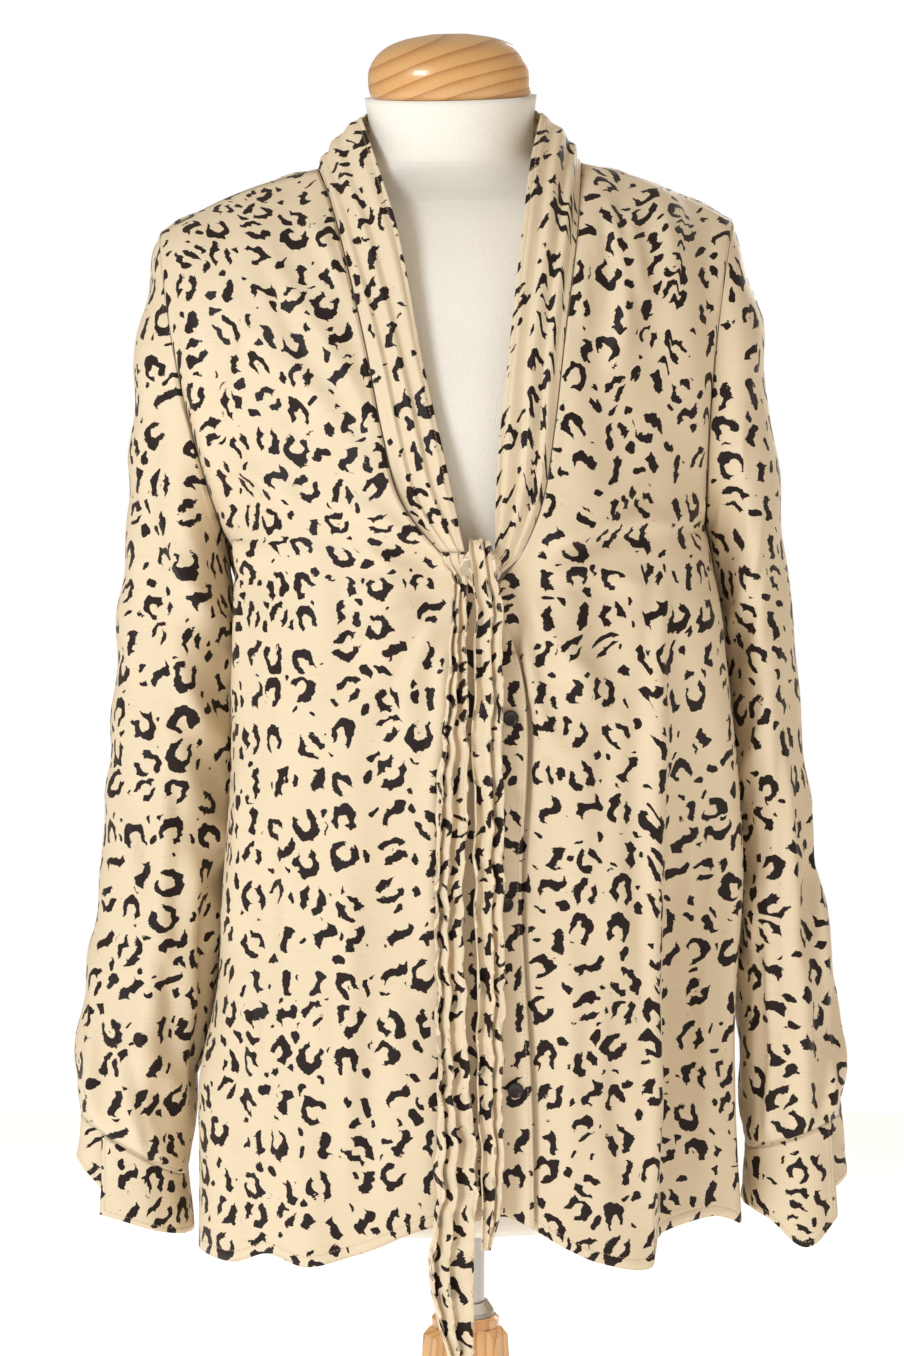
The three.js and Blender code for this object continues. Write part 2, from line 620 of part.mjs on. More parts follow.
// A full solid through closed rings, with a flat or pointed end at each side
function loft(name, rings, material) {
  const points = rings.flat();
  const steps = rings[0].length;
  const triangles = [];
  for (let i = 0; i < rings.length - 1; i += 1) {
    for (let j = 0; j < steps; j += 1) {
      const k = (j + 1) % steps;
      const low = i * steps;
      const high = low + steps;
      triangles.push([low + j, low + k, high + k], [low + j, high + k, high + j]);
    }
  }
  for (const [start, flip] of [[0, true], [(rings.length - 1) * steps, false]]) {
    const ring = points.slice(start, start + steps);
    const middle = ring.reduce((sum, point) => sum.add(point), new THREE.Vector3()).divideScalar(steps);
    points.push(middle);
    const tip = points.length - 1;
    for (let j = 0; j < steps; j += 1) {
      const k = (j + 1) % steps;
      triangles.push(flip ? [start + k, start + j, tip] : [start + j, start + k, tip]);
    }
  }
  return makeMesh(name, points, triangles, material);
}

function range(count) {
  return Array.from({ length: count + 1 }, (_, i) => i / count);
}

// Levels of the rows of the fronts and the back
function bodyLevels() {
  const low = range(FRONT_ROWS_LOW);
  const high = range(FRONT_ROWS_HIGH).slice(1).map((t) => 1 + t);
  return low.concat(high);
}

function makeFront(side) {
  const shares = range(FRONT_COLUMNS);
  const grid = bodyLevels().map((level) => shares.map((share) => frontPoint(side, share, level)));
  const name = side === LEFT ? 'front_left' : 'front_right';
  const isSeam = (i, j) => i === grid.length - 1 || (i <= FRONT_ROWS_LOW && j === FRONT_COLUMNS);
  return { mesh: wall(name, grid, CLOTH, cloth, { inward: side === LEFT ? -1 : 1, isSeam }), grid };
}

function makePlacket(grid) {
  const normals = gridNormals(grid, false);
  const top = grid.findIndex((row) => row[0].z > PLACKET_TOP);
  const strip = grid.slice(0, top).map((row, i) => [0, 1, 2].map((j) => (
    row[j].clone().addScaledVector(normals[i][j], -(SEAM + PLACKET_CLOTH))
  )));
  return wall('placket', strip, PLACKET_CLOTH, cloth, { inward: -1 });
}

function makeButton(name, z, grid) {
  const profile = [
    new THREE.Vector2(0, 0),
    new THREE.Vector2(BUTTON_RADIUS * 0.8, 0),
    new THREE.Vector2(BUTTON_RADIUS, BUTTON_THICKNESS * 0.5),
    new THREE.Vector2(BUTTON_RADIUS * 0.92, BUTTON_THICKNESS),
    new THREE.Vector2(BUTTON_RADIUS * 0.7, BUTTON_THICKNESS),
    new THREE.Vector2(BUTTON_RADIUS * 0.6, BUTTON_THICKNESS * 0.75),
    new THREE.Vector2(0, BUTTON_THICKNESS * 0.75),
  ];
  const mesh = new THREE.Mesh(new THREE.LatheGeometry(profile, 14), button);
  mesh.name = name;
  const x = read(LEFT_EDGE, 'z', 'x', z) - BUTTON_FROM_EDGE;
  const frontmost = ([a, b, c]) => Math.min(mix(a.y, b.y, 0.4), b.y, mix(b.y, c.y, 0.2));
  const rows = grid.map((row) => ({ z: row[0].z, y: frontmost(row) }));
  mesh.rotation.x = Math.PI;
  mesh.position.set(x, read(rows, 'z', 'y', z) - PLACKET_CLOTH - 2 * SEAM, z);
  return mesh;
}

function makeBack() {
  const shares = range(BACK_COLUMNS).map((t) => 2 * t - 1);
  const grid = bodyLevels().map((level) => shares.map((share) => backPoint(share, level)));
  const isSeam = (i, j) => (i === grid.length - 1 && Math.abs(shares[j]) > BACK_NECK_SHARE - 0.01)
    || (i <= FRONT_ROWS_LOW && Math.abs(shares[j]) === 1);
  return wall('back', grid, CLOTH, cloth, { inward: -1, isSeam });
}

// A point of a sleeve: share runs down it, angle runs from the outside over the front to the body side
function sleevePoint(side, share, angle, spread = 0) {
  const rows = SLEEVE[side];
  const place = share * (rows.length - 1);
  const numbered = rows.map((row, i) => ({ ...row, i }));
  const at = (column) => read(numbered, 'i', column, place);
  const outward = Math.cos(radians(angle));
  const forward = Math.sin(radians(angle));
  const half = (outward + 1) / 2;
  const loop = ARMHOLE[side];
  let reach = at('reach') + spread;
  for (const fold of SLEEVE_FOLDS[side]) {
    const gap = ((angle - fold.at + 540) % 360) - 180;
    const fade = smooth((share - fold.top) / 0.12) * smooth((fold.low + 0.02 - share) / 0.12);
    reach += fold.height * Math.exp(-((gap / fold.width) ** 2)) * fade;
  }
  const bow = loop.bow * forward * forward * smooth(1 - place);
  const wide = (at('outX') - at('inX')) / 2;
  const grow = 1 + spread / wide;
  const middle = (at('outX') + at('inX')) / 2;
  const settle = smooth(place / 2);
  const square = mix(1, SLEEVE_FULLNESS, settle);
  const bend = Math.sign(forward) * Math.abs(forward) ** square;
  return new THREE.Vector3(
    side * (middle + wide * grow * outward + bow),
    at('y') - reach * bend,
    mix(at('inZ'), at('outZ'), half),
  );
}

// Columns of a sleeve stand where the rows of the front and back meet its armhole
function makeSleeve(side) {
  const rows = range(SLEEVE_ROWS).map((t) => mix(SLEEVE_START, 1, t ** 1.15));
  const front = range(FRONT_ROWS_HIGH).map((t) => 180 - SHOULDER_TURN * t);
  const rear = range(FRONT_ROWS_HIGH).slice(1, -1).map((t) => 180 + (360 - SHOULDER_TURN) * t);
  const angles = front.reverse().concat(rear);
  const grid = rows.map((share) => angles.map((angle) => sleevePoint(side, share, angle)));
  const name = side === LEFT ? 'sleeve_left' : 'sleeve_right';
  return wall(name, grid, CLOTH, cloth, { round: true, inward: side === LEFT ? -1 : 1 });
}

// An open cuff: its ends overlap, one behind the other, and its lower corners hang free
function makeCuff(side) {
  const { start, turn, drops } = CUFF[side];
  const steps = 22;
  const columns = range(steps).map((t) => {
    const angle = start + turn * t;
    const tuck = -CUFF_OVERLAP_IN * smooth((turn * t - 330) / 30);
    return { angle, tuck, drop: read(drops, 'at', 'drop', angle) };
  });
  const rows = [0, 0.35, 0.7, 1];
  const grid = rows.map((down) => columns.map(({ angle, tuck, drop }) => {
    const point = sleevePoint(side, 1, angle % 360, tuck + CUFF_FLARE * down);
    point.z -= 2 * SEAM + drop * down;
    return point;
  }));
  const name = side === LEFT ? 'cuff_left' : 'cuff_right';
  return wall(name, grid, BAND_CLOTH, cloth, { inward: side === LEFT ? -1 : 1 });
}

// One row across the scarf collar: its seam edge and its free edge
function collarEdges(side, t) {
  const edges = side === LEFT ? LEFT_EDGE : RIGHT_EDGE;
  if (t <= 1) {
    const z = mix(KNOT_Z, NECK_SIDE_Z, t);
    const seam = new THREE.Vector3(read(edges, 'z', 'x', z), -read(edges, 'z', 'depth', z), z);
    const free = new THREE.Vector3(
      read(COLLAR_FREE[side], 'z', 'x', z),
      read(COLLAR_FREE[side], 'z', 'y', z),
      read(COLLAR_FREE[side], 'z', 'top', z),
    );
    return { seam, free };
  }
  const angle = (t - 1) * Math.PI / 2;
  const last = COLLAR_FREE[side][COLLAR_FREE[side].length - 1];
  const round = Math.sin(angle);
  const seam = new THREE.Vector3(
    side * NECK_SIDE[side] * Math.cos(angle),
    mix(NECK_SIDE_Y, NECK_BACK_Y, round),
    mix(NECK_SIDE_Z, NECK_BACK_Z, round),
  );
  const free = new THREE.Vector3(
    mix(NECK_CENTRE_X, last.x, Math.cos(angle) ** 0.9),
    mix(last.y, COLLAR_STAND.backY, round),
    mix(last.top, COLLAR_STAND.topZ, smooth(round)),
  );
  return { seam, free };
}

function collarRow(side, t) {
  const { seam, free } = collarEdges(side, t);
  const across = free.clone().sub(seam);
  const length = across.length();
  seam.addScaledVector(across, COLLAR_GAP / length);
  const outward = new THREE.Vector3(seam.x - NECK_CENTRE_X, seam.y * 1.2, 0).normalize();
  const stand = smooth(t - 0.55);
  const row = range(COLLAR_ACROSS - 1).map((share) => {
    const point = seam.clone().lerp(free, share);
    const swell = mix(2.5, 6, stand) * Math.sin(Math.PI * share) * smooth(t * 4 + 0.3);
    return point.addScaledVector(outward, swell);
  });
  return row;
}

function makeCollar() {
  const up = range(FRONT_ROWS_HIGH);
  const around = range(COLLAR_ROUND / 2).slice(1).map((t) => 1 + t);
  const times = up.concat(around);
  const leftRows = times.map((t) => collarRow(LEFT, t));
  const rightRows = times.slice(0, -1).map((t) => collarRow(RIGHT, t)).reverse();
  return wall('collar', leftRows.concat(rightRows), BAND_CLOTH, cloth, { inward: 1 });
}

// A tie end hangs in lengthwise folds, and its end is cut on the slant
function makeTie(name, rows, waves, columns, count) {
  const top = rows[0].z;
  const bottom = rows[rows.length - 1].z;
  const grid = range(count).map((t) => {
    const z = mix(top, bottom, t);
    const at = (column) => read(rows, 'z', column, z);
    return range(columns).map((share) => {
      const swing = Math.cos(2 * Math.PI * waves * share + 0.5 * Math.sin(t * 5));
      return new THREE.Vector3(mix(at('left'), at('right'), share), at('y') + at('fold') * swing, z);
    });
  });
  return wall(name, grid, TIE_CLOTH, cloth, { inward: 1 });
}

function makeKnot() {
  const steps = 14;
  const rings = KNOT.map((row) => range(steps).slice(0, -1).map((t) => {
    const angle = 2 * Math.PI * t;
    const groove = 1 - 0.1 * Math.max(Math.cos(5 * angle), 0);
    return new THREE.Vector3(
      row.x + row.halfWidth * Math.cos(angle) * groove,
      row.y + row.halfDepth * Math.sin(angle) * groove,
      row.z,
    );
  }));
  return loft('knot', rings, cloth);
}

// Dress form, cap, pole and stand
function makeTorso() {
  const rings = TORSO.map((row) => range(FORM_STEPS).slice(0, -1).map((t) => {
    const angle = 2 * Math.PI * t;
    const side = Math.cos(angle);
    const front = Math.sin(angle);
    const depth = front < 0 ? row.front : row.back;
    const power = 2 / mix(2.25, 2, clamp(row.tilt, 0, 1));
    const y = depth * Math.sign(front) * Math.abs(front) ** power;
    const lift = Math.tan(NECK_TILT) * row.tilt * y;
    return new THREE.Vector3(
      row.x + row.width * Math.sign(side) * Math.abs(side) ** power,
      row.y + y,
      row.z + lift,
    );
  }));
  return loft('torso', rings, jersey);
}

function makeCap() {
  const rings = CAP.map((row) => range(FORM_STEPS).slice(0, -1).map((t) => {
    const angle = 2 * Math.PI * t;
    const radius = CAP_RADIUS * row.share;
    return new THREE.Vector3(radius * Math.cos(angle), radius * 0.93 * Math.sin(angle), row.height);
  }));
  const cap = loft('neck_cap', rings, wood);
  cap.position.set(NECK_CENTRE_X, CAP_Y, CAP_LIFT);
  cap.rotation.x = NECK_TILT;
  return cap;
}

function makeLathe(name, pairs, material, steps = 28) {
  const profile = pairs.map(([radius, z]) => new THREE.Vector2(radius, z));
  const mesh = new THREE.Mesh(new THREE.LatheGeometry(profile, steps), material);
  mesh.name = name;
  mesh.rotation.x = Math.PI / 2;
  return mesh;
}

function makeStand() {
  const stand = new THREE.Group();
  const poleFoot = HUB_TOP + 0.3;
  const poleHead = FORM_BOTTOM - 0.7;
  stand.add(makeLathe('pole', [
    [0, poleFoot],
    [POLE_RADIUS, poleFoot],
    [POLE_RADIUS, poleHead],
    [0, poleHead],
  ], steel));
  stand.add(makeLathe('pole_collar', [
    [POLE_RADIUS + 0.3, poleFoot],
    [POLE_RADIUS + 6.5, poleFoot],
    [POLE_RADIUS + 6, poleFoot + 3],
    [POLE_RADIUS + 2.2, poleFoot + 9],
    [POLE_RADIUS + 0.3, poleFoot + 9],
    [POLE_RADIUS + 0.3, poleFoot],
  ], steel));
  const discFoot = HUB_TOP - HUB_DISC;
  stand.add(makeLathe('hub', [
    [0, discFoot - CORE_LENGTH],
    [CORE_RADIUS, discFoot - CORE_LENGTH],
    [CORE_RADIUS, discFoot],
    [HUB_RADIUS, discFoot],
    [HUB_RADIUS, HUB_TOP - 2],
    [HUB_RADIUS - 2, HUB_TOP],
    [0, HUB_TOP],
  ], wood));
  for (const [index, turn] of [210, 330, 90].entries()) stand.add(makeLeg(`leg_${index + 1}`, turn));
  return stand;
}

// A leg is a board cut on a sweep, upright at the hub and splayed at the floor
function makeLeg(name, turn) {
  const inner = CORE_RADIUS + 0.4;
  const outline = new THREE.Shape();
  outline.moveTo(inner, LEG_TOP);
  outline.bezierCurveTo(12, 400, 92, 175, FOOT_INNER, 0);
  outline.lineTo(FOOT_OUTER, 0);
  outline.bezierCurveTo(128, 188, 36, 400, 27, LEG_TOP - 5);
  outline.lineTo(22, LEG_TOP);
  outline.closePath();
  const board = new THREE.ExtrudeGeometry(outline, {
    depth: LEG_THICKNESS,
    bevelEnabled: false,
    curveSegments: 12,
  });
  board.translate(0, 0, -LEG_THICKNESS / 2);
  board.rotateX(Math.PI / 2);
  const mesh = new THREE.Mesh(board, wood);
  mesh.name = name;
  mesh.rotation.z = radians(turn);
  return mesh;
}

const left = makeFront(LEFT);
const right = makeFront(RIGHT);

const dressed = new THREE.Group();
dressed.position.z = -FORM_BOTTOM;
dressed.add(left.mesh);
dressed.add(right.mesh);
dressed.add(makeBack());
dressed.add(makePlacket(left.grid));
BUTTON_HEIGHTS.forEach((z, i) => dressed.add(makeButton(`button_${i + 1}`, z, left.grid)));
for (const side of [LEFT, RIGHT]) dressed.add(makeSleeve(side), makeCuff(side));
dressed.add(makeCollar());
dressed.add(makeKnot());
dressed.add(makeTie('tie_long', TIE_LONG, TIE_LONG_WAVES, 9, 17));
dressed.add(makeTie('tie_short', TIE_SHORT, TIE_SHORT_WAVES, 7, 14));
dressed.add(makeTorso());
dressed.add(makeCap());

const leaning = new THREE.Group();
leaning.position.z = FORM_BOTTOM;
leaning.rotation.y = -FORM_LEAN;
leaning.add(dressed);

const part = new THREE.Group();
part.add(leaning);
part.add(makeStand());
part.position.set(BASE_SHIFT_X, BASE_SHIFT_Y, 0);

export default part;
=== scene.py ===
# A printed blouse with a knotted scarf collar, worn by a limbless dress form on a wooden stand.
# Lengths are in millimetres in the form's own upright frame. place() leans it, shifts it and gives metres.
# The front faces -Y, and left and right are the viewer's.
import math

import bpy
import numpy as np
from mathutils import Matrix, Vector


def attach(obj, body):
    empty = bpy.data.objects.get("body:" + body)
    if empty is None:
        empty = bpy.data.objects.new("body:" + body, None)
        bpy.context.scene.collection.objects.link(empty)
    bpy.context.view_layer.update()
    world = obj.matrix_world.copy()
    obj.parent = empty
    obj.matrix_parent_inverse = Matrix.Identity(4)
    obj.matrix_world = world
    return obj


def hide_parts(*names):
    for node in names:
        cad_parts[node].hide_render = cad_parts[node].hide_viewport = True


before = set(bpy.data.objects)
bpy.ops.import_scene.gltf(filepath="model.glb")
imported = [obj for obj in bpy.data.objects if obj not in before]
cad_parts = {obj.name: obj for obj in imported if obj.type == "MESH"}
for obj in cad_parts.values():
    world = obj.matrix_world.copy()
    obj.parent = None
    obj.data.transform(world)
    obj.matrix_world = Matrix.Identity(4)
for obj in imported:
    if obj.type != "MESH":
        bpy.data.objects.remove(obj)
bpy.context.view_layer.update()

LEFT, RIGHT = -1, 1
WORD = {LEFT: "left", RIGHT: "right"}
FULL_TURN = 2 * math.pi
FAR_OFF = 99.0

# Driving sizes, as in the solids
BASE_SHIFT = (2.3, -55.0)
FORM_BOTTOM = 700.0
FORM_LEAN = math.radians(1.2)
CLOTH = 0.8
BAND_CLOTH = 1.0
SEAM = 0.35
UNDERARM = 1148.0
SHOULDER_TURN = 170.0
ROUNDNESS = 2.4
KNOT_Z = 1140.0
HEM_HALF = 178.0
PLACKET_WIDTH = 25.0
PLACKET_LIFT = 1.35
PLACKET_TOP = 1080.0
UNDERLAP = 4.0
UNDERLAP_TURN = 5.0
UNDERLAP_TOP = 1150.0
UNDERLAP_FADE = 20.0
BUTTON_HEIGHTS = (1036.0, 920.0, 803.0)
BUTTON_FROM_EDGE = 10.0
BUTTON_RADIUS = 5.0
BUTTON_THICKNESS = 2.2
NECK_CENTRE_X = 5.5
NECK_TILT = math.radians(10)

# How finely the cloth is divided
FRONT_COLUMNS = 17
COLUMN_STEPS = 6
ROWS_LOW = 108
ROWS_HIGH = 62
BACK_COLUMNS = 156
SLEEVE_ROWS = 136
SLEEVE_COLUMNS = 84
SLEEVE_START = 0.004
LEVEL_ROW = 58
CUFF_ROWS = 18
CUFF_COLUMNS = 110
TIE_COLUMNS = 96
TIE_ROWS = {"long": 170, "short": 150, "roll": 24}
COLLAR_STEPS = {"front": 82, "neck": 35, "tuck": 12, "across": 56}
KNOT_ROWS = 44
KNOT_COLUMNS = 72
FORM_COLUMNS = 96
BUTTON_COLUMNS = 48
SOFTENING = {"reach": 24, "rounds": 70, "edge": 12}

# Where the pieces lie on the roll of printed cloth: starts across it, and the foot of those that hang
ROLL_START = {
    "back": 700.0,
    "sleeve": 1500.0,
    "cuff": 2300.0,
    "collar": 3100.0,
    "knot": 3700.0,
    "long": 4000.0,
    "short": 4200.0,
}
ROLL_FOOT = 40.0
SLEEVE_APART = 230
CUFF_APART = 170

# Stitches: how far inside a hem and how long they are, and how much nearer to the edge on small pieces
STITCH = {
    "inset": 7.0,
    "length": 2.6,
    "strip_shift": 4.5,
    "cuff_shift": 3.5,
    "collar_shift": 4.0,
    "tie_shift": 3.5,
}

# Camera, lights (place, height aimed at, size, power, colour), floor and the sweep of the legs, in metres
CAMERA = {"at": (-0.0067, -2.275, 1.171), "tilt": 87, "focal_px": 3365, "frame_px": 1356, "sensor": 36.0}
LIGHTS = {
    "key": ((-1.9, -2.35, 2.3), 1.05, (0.9, 0.9), 52, (0.93, 1.0, 1.08)),
    "fill": ((2.4, -2.2, 1.2), 1.0, (1.6, 2.0), 4, (1, 1, 1)),
    "back": ((1.2, 2.6, 2.2), 1.05, (1.4, 1.4), 30, (0.98, 1.0, 1.02)),
}
WHITE = (1.0, 1.0, 1.0, 1.0)
WARM = (1.0, 0.86, 0.70, 1.0)
WORLD_LIGHT = 0.45
FLOOR_RADIUS = 4.2
FLOOR_GLOW = 0.62
LEG_SWEEP = {"middle": (0.0023, -0.055, 0.0), "height": 0.617, "spread": 0.163, "power": 1.5, "aside": 0.2}


def table(columns, rows):
    """Rows of numbers, set apart by commas, as one array for each named column."""
    values = np.array([row.split() for row in rows.split(",")], float)
    return dict(zip(columns.split(), values.T))


# Half widths to each side where the front is widest
BODY = table("z left right", """
    670 176 184, 780 173 181, 828 165 180, 875 156 181, 930 152 183, 1015 146 181, 1070 143 177,
    1110 145 174, 1148 151 170
""")
WIDEST_Y = -30.0
SEAM_Y = 3.0
TUCK = 8.0
TUCK_LENGTH = 60.0

# Inner edges of the fronts: the collar seam down to the knot, then the closure
EDGE = {
    LEFT: table("z x depth", """
        700 43 131, 796 43 131, 922 39 130, 1047 44 130, 1110 25 131, 1140 -8 131, 1171 -31 129,
        1214 -42 124, 1271 -52 111, 1336 -66 80, 1370 -75 46, 1389 -82 18
    """),
    RIGHT: table("z x depth", """
        700 18 131, 922 15 130, 1047 19 130, 1110 24 131, 1140 45 131, 1171 58 129, 1214 66 124,
        1271 74 111, 1336 84 80, 1370 88 46, 1389 90 18
    """),
}
FRONT_HEM = table("x z", """
    -176 690, -150 689, -125 697, -100 692, -64 701, -26 716, 10 721, 28 722, 57 705, 82 692, 116 684,
    128 697, 160 704, 182 697
""")
BACK_DEPTH = table("z back", "670 124, 780 121, 960 113, 1070 108, 1148 106")
BACK_HEM = {"middle": 682.0, "side": 690.0, "wave": 7.0, "waves": 9.0}

# Armhole loops: highest and lowest points, bow and reach
ARMHOLE = {LEFT: {"top_x": 186, "low_x": 147, "bow": 5}, RIGHT: {"top_x": 188, "low_x": 166, "bow": -7}}
ARMHOLE_TOP = 1352.0
ARMHOLE_REACH = {"front": 57.0, "back": 55.0}
NECK_SIDE = {LEFT: 82.0, RIGHT: 90.0}
NECK_SIDE_Z = 1389.0
NECK_SIDE_Y = -18.0
BACK_NECK_SHARE = 5 / 11
NECK_BACK_Y = 56.0
NECK_BACK_Z = 1400.0
SHOULDER_ARCH = 5.0
BACK_CURVE = 0.75
ARMHOLE_OPEN = 0.1

# Large folds of the solids: ridges (+) and troughs (-) along lines in the front view
FRONT_FOLDS = table("x1 z1 x2 z2 width height", """
    2 1132 -70 1215 11 5, -8 1126 -100 1160 12 -4, -10 1112 -95 1085 13 4, -20 1100 -62 985 13 -4,
    48 1128 120 1178 12 4, 48 1118 135 1120 12 -5, 50 1104 108 1020 13 5, -128 1330 -70 1215 13 4,
    128 1340 104 1250 11 4, 104 1350 92 1230 9 -4, -118 980 -128 690 14 -6, -92 900 -98 690 15 5,
    74 900 78 690 16 5
""")
BACK_FOLDS = table("x1 z1 x2 z2 width height", """
    -118 1080 -128 680 15 -7, -74 1150 -86 680 17 7, -30 1020 -36 680 16 -6, 22 1120 20 680 18 6,
    70 1050 80 680 16 -7, 118 1140 130 680 17 6
""")
STEP = {"top_z": 1085, "full_z": 900, "top_x": 127, "low_x": 120, "width": 6, "depth": 42, "run": 380}

# Fine creases of the thin cloth, as lines on each piece: bow is how far a line bows sideways
CREASE_COLUMNS = "a1 b1 a2 b2 bow width height"
FRONT_CREASES = {
    LEFT: table(CREASE_COLUMNS, """
        -120 1352 -12 1191 9 8 3.9, -96 1366 -30 1236 -6 6 3.0, -146 1322 -58 1216 10 9 3.3,
        2 1131 -78 1176 6 6 3.9, 0 1126 -62 1146 -5 5 3.3, 0 1119 -72 1112 6 6 3.6,
        -2 1112 -66 1072 8 6 3.6, -4 1104 -34 1022 7 5 3.9, -8 1092 -24 960 -6 5 3.3,
        -150 1196 -92 1168 -7 7 3.6, -148 1176 -118 1128 5 8 3.9, -131 1172 -138 1010 4 6 4.8,
        -137 1030 -148 880 -4 7 3.9, -100 1010 -112 716 5 9 3.6, -70 960 -80 704 -6 8 3.0,
        -128 880 -124 692 5 7 4.2, -36 880 -46 712 4 9 2.7, -8 1010 -16 880 4 6 2.4,
        -120 1290 -136 1210 6 7 2.7
    """),
    RIGHT: table(CREASE_COLUMNS, """
        90 1372 86 1268 4 5 3.9, 103 1370 112 1262 -4 5 4.2, 120 1366 131 1284 5 6 3.3,
        138 1358 140 1300 -3 6 2.4, 50 1140 132 1196 8 6 3.9, 50 1133 140 1160 -6 6 4.2,
        48 1124 128 1112 -7 6 3.6, 46 1116 96 1052 8 6 3.9, 44 1106 70 1000 7 5 3.6,
        42 1096 52 960 -5 5 3.0, 118 1150 172 1176 5 7 2.7, 108 1060 104 860 5 8 3.0,
        150 1010 144 708 -4 7 4.2, 166 980 166 706 5 7 3.9, 158 900 156 700 3 5 2.4,
        136 1130 128 980 4 6 3.0, 120 698 127 1092 0 6 5.0, 66 930 62 714 -5 9 2.7,
        90 880 92 700 4 8 3.3
    """),
}
BACK_CREASES = table(CREASE_COLUMNS, """
    -150 1190 -96 1150 6 7 3.6, -146 1160 -112 1090 6 8 3.9, 152 1188 104 1146 -6 7 3.6,
    150 1158 118 1080 -6 8 3.9, -104 1260 -52 1180 8 9 2.7, 100 1262 60 1186 -8 9 2.7,
    -60 1385 -30 1330 6 8 2.4, 58 1385 30 1326 -6 8 2.4, -96 1060 -104 720 6 8 3.3,
    -48 1120 -58 740 -7 9 3.0, -10 1060 -6 700 6 8 3.3, 44 1130 50 760 -6 9 3.0,
    92 1080 98 700 5 8 3.6, 136 1020 144 700 -5 7 3.6, -138 1000 -146 700 5 7 3.6
""")

# Sleeve creases: a is the place round the sleeve in degrees, b the distance down it in millimetres
SLEEVE_CREASES = {
    LEFT: table(CREASE_COLUMNS, """
        150 60 70 120 10 9 3.6, 165 110 84 190 12 10 4.2, 172 190 110 300 -10 9 4.5,
        84 210 92 470 6 9 4.5, 120 250 150 400 -8 10 4.8, 40 330 96 390 8 9 3.3,
        150 380 70 470 -10 9 4.5, 60 440 120 520 8 9 4.2, 30 470 52 560 5 8 4.2,
        100 500 84 590 4 7 4.5, 130 490 138 580 -4 8 3.9, 350 480 4 580 5 9 4.2,
        210 120 280 220 10 10 4.2, 190 230 260 330 -8 10 4.5, 300 260 290 470 8 10 3.9,
        230 400 300 480 8 9 4.2, 250 490 240 590 -4 8 4.2, 310 500 322 590 4 8 3.9
    """),
    RIGHT: table(CREASE_COLUMNS, """
        150 70 64 130 10 9 3.3, 168 130 96 220 12 10 4.2, 170 230 118 340 -10 9 4.5,
        70 250 76 560 7 9 5.1, 112 290 128 480 -8 9 4.5, 30 360 40 520 6 9 3.6, 140 430 80 520 8 9 4.2,
        96 490 104 590 -4 7 4.5, 50 500 30 590 5 8 4.5, 130 510 150 590 4 8 3.9, 0 500 14 590 5 8 4.2,
        205 140 276 230 10 10 4.2, 186 260 250 350 -8 10 4.5, 296 240 302 480 8 10 3.9,
        240 420 290 520 8 9 4.2, 220 500 214 590 -4 8 4.2, 330 490 320 590 4 8 3.9
    """),
}

# Soft uneven ripples over whole pieces: lengths across and along, and height
RIPPLES = {
    "front": (64, 420, 1.9),
    "back": (66, 430, 2.2),
    "sleeve": (48, 190, 1.9),
    "cuff": (34, 60, 0.7),
    "tie": (9, 46, 0.55),
    "tie_kinks": (24, 60, 0.4),
    "tie_bends": (38, 90, 0.5),
}

# Sleeves, ring by ring: outer and inner points, middle in Y and reach
SLEEVE_TABLE = "out_x out_z in_x in_z y reach"
SLEEVE = {
    LEFT: table(SLEEVE_TABLE, """
        186 1352 147 1147.3 -1 56, 195 1318 147.5 1138 3 60, 205 1282 146 1124 7 62,
        209 1236 144 1104 12 61, 213 1180 142 1076 16 60, 220 1110 142.5 1040 18 58,
        229 1022 146.5 985 18 56, 238 944 151.5 922 16 54, 248 862 162 850 10 50, 255 806 176 786 4 44,
        254 773 184 731 0 38
    """),
    RIGHT: table(SLEEVE_TABLE, """
        188 1352 166.6 1147.3 -1 56, 197 1318 168 1138 3 60, 206 1282 170 1124 7 62,
        211 1236 173.5 1104 12 62, 217 1180 176.5 1076 16 62, 223 1110 179 1040 18 62,
        230 1020 181.5 985 18 61, 238 940 182 922 16 58, 245 862 182 850 10 53, 251 800 184 786 4 46,
        251 764 187 742 0 40
    """),
}
SLEEVE_FOLDS = {
    LEFT: table("at top low width height", """
        62 0.12 0.62 16 -6, 104 0.2 1 20 5, 140 0.1 0.7 16 -6, 232 0.15 0.95 20 -6, 296 0.3 1 18 5
    """),
    RIGHT: table("at top low width height", """
        52 0.45 1 15 -6, 96 0.15 0.9 20 5, 136 0.1 0.8 16 -6, 228 0.2 1 20 -6, 300 0.2 0.8 18 5
    """),
}
SLEEVE_FULLNESS = 0.86
CUFF = {
    LEFT: {
        "start": 58,
        "turn": 372,
        "drops": table("at drop", "40 56, 100 46, 180 38, 270 42, 360 28, 440 42"),
    },
    RIGHT: {
        "start": 44,
        "turn": 378,
        "drops": table("at drop", "40 62, 84 74, 130 46, 180 38, 270 44, 360 40, 430 50"),
    },
}
CUFF_OVERLAP = 3.2
CUFF_FLARE = 3.0

# Free edge of the scarf collar, from the knot up each side of the V to the neck
COLLAR_FREE = {
    LEFT: table("z x y top", """
        1140 8 -136 1140, 1171 2 -135 1171, 1214 -5 -130 1208, 1271 -16 -116 1262, 1336 -30 -88 1344,
        1370 -43 -60 1389, 1389 -53 -28 1421
    """),
    RIGHT: table("z x y top", """
        1140 27 -136 1140, 1171 28 -135 1171, 1214 31 -130 1208, 1271 38 -116 1262, 1336 49 -88 1344,
        1370 56 -60 1389, 1389 64 -28 1421
    """),
}
COLLAR_BACK_Y = 60.0
COLLAR_TOP_Z = 1440.0
COLLAR_FOLDS = 2.9

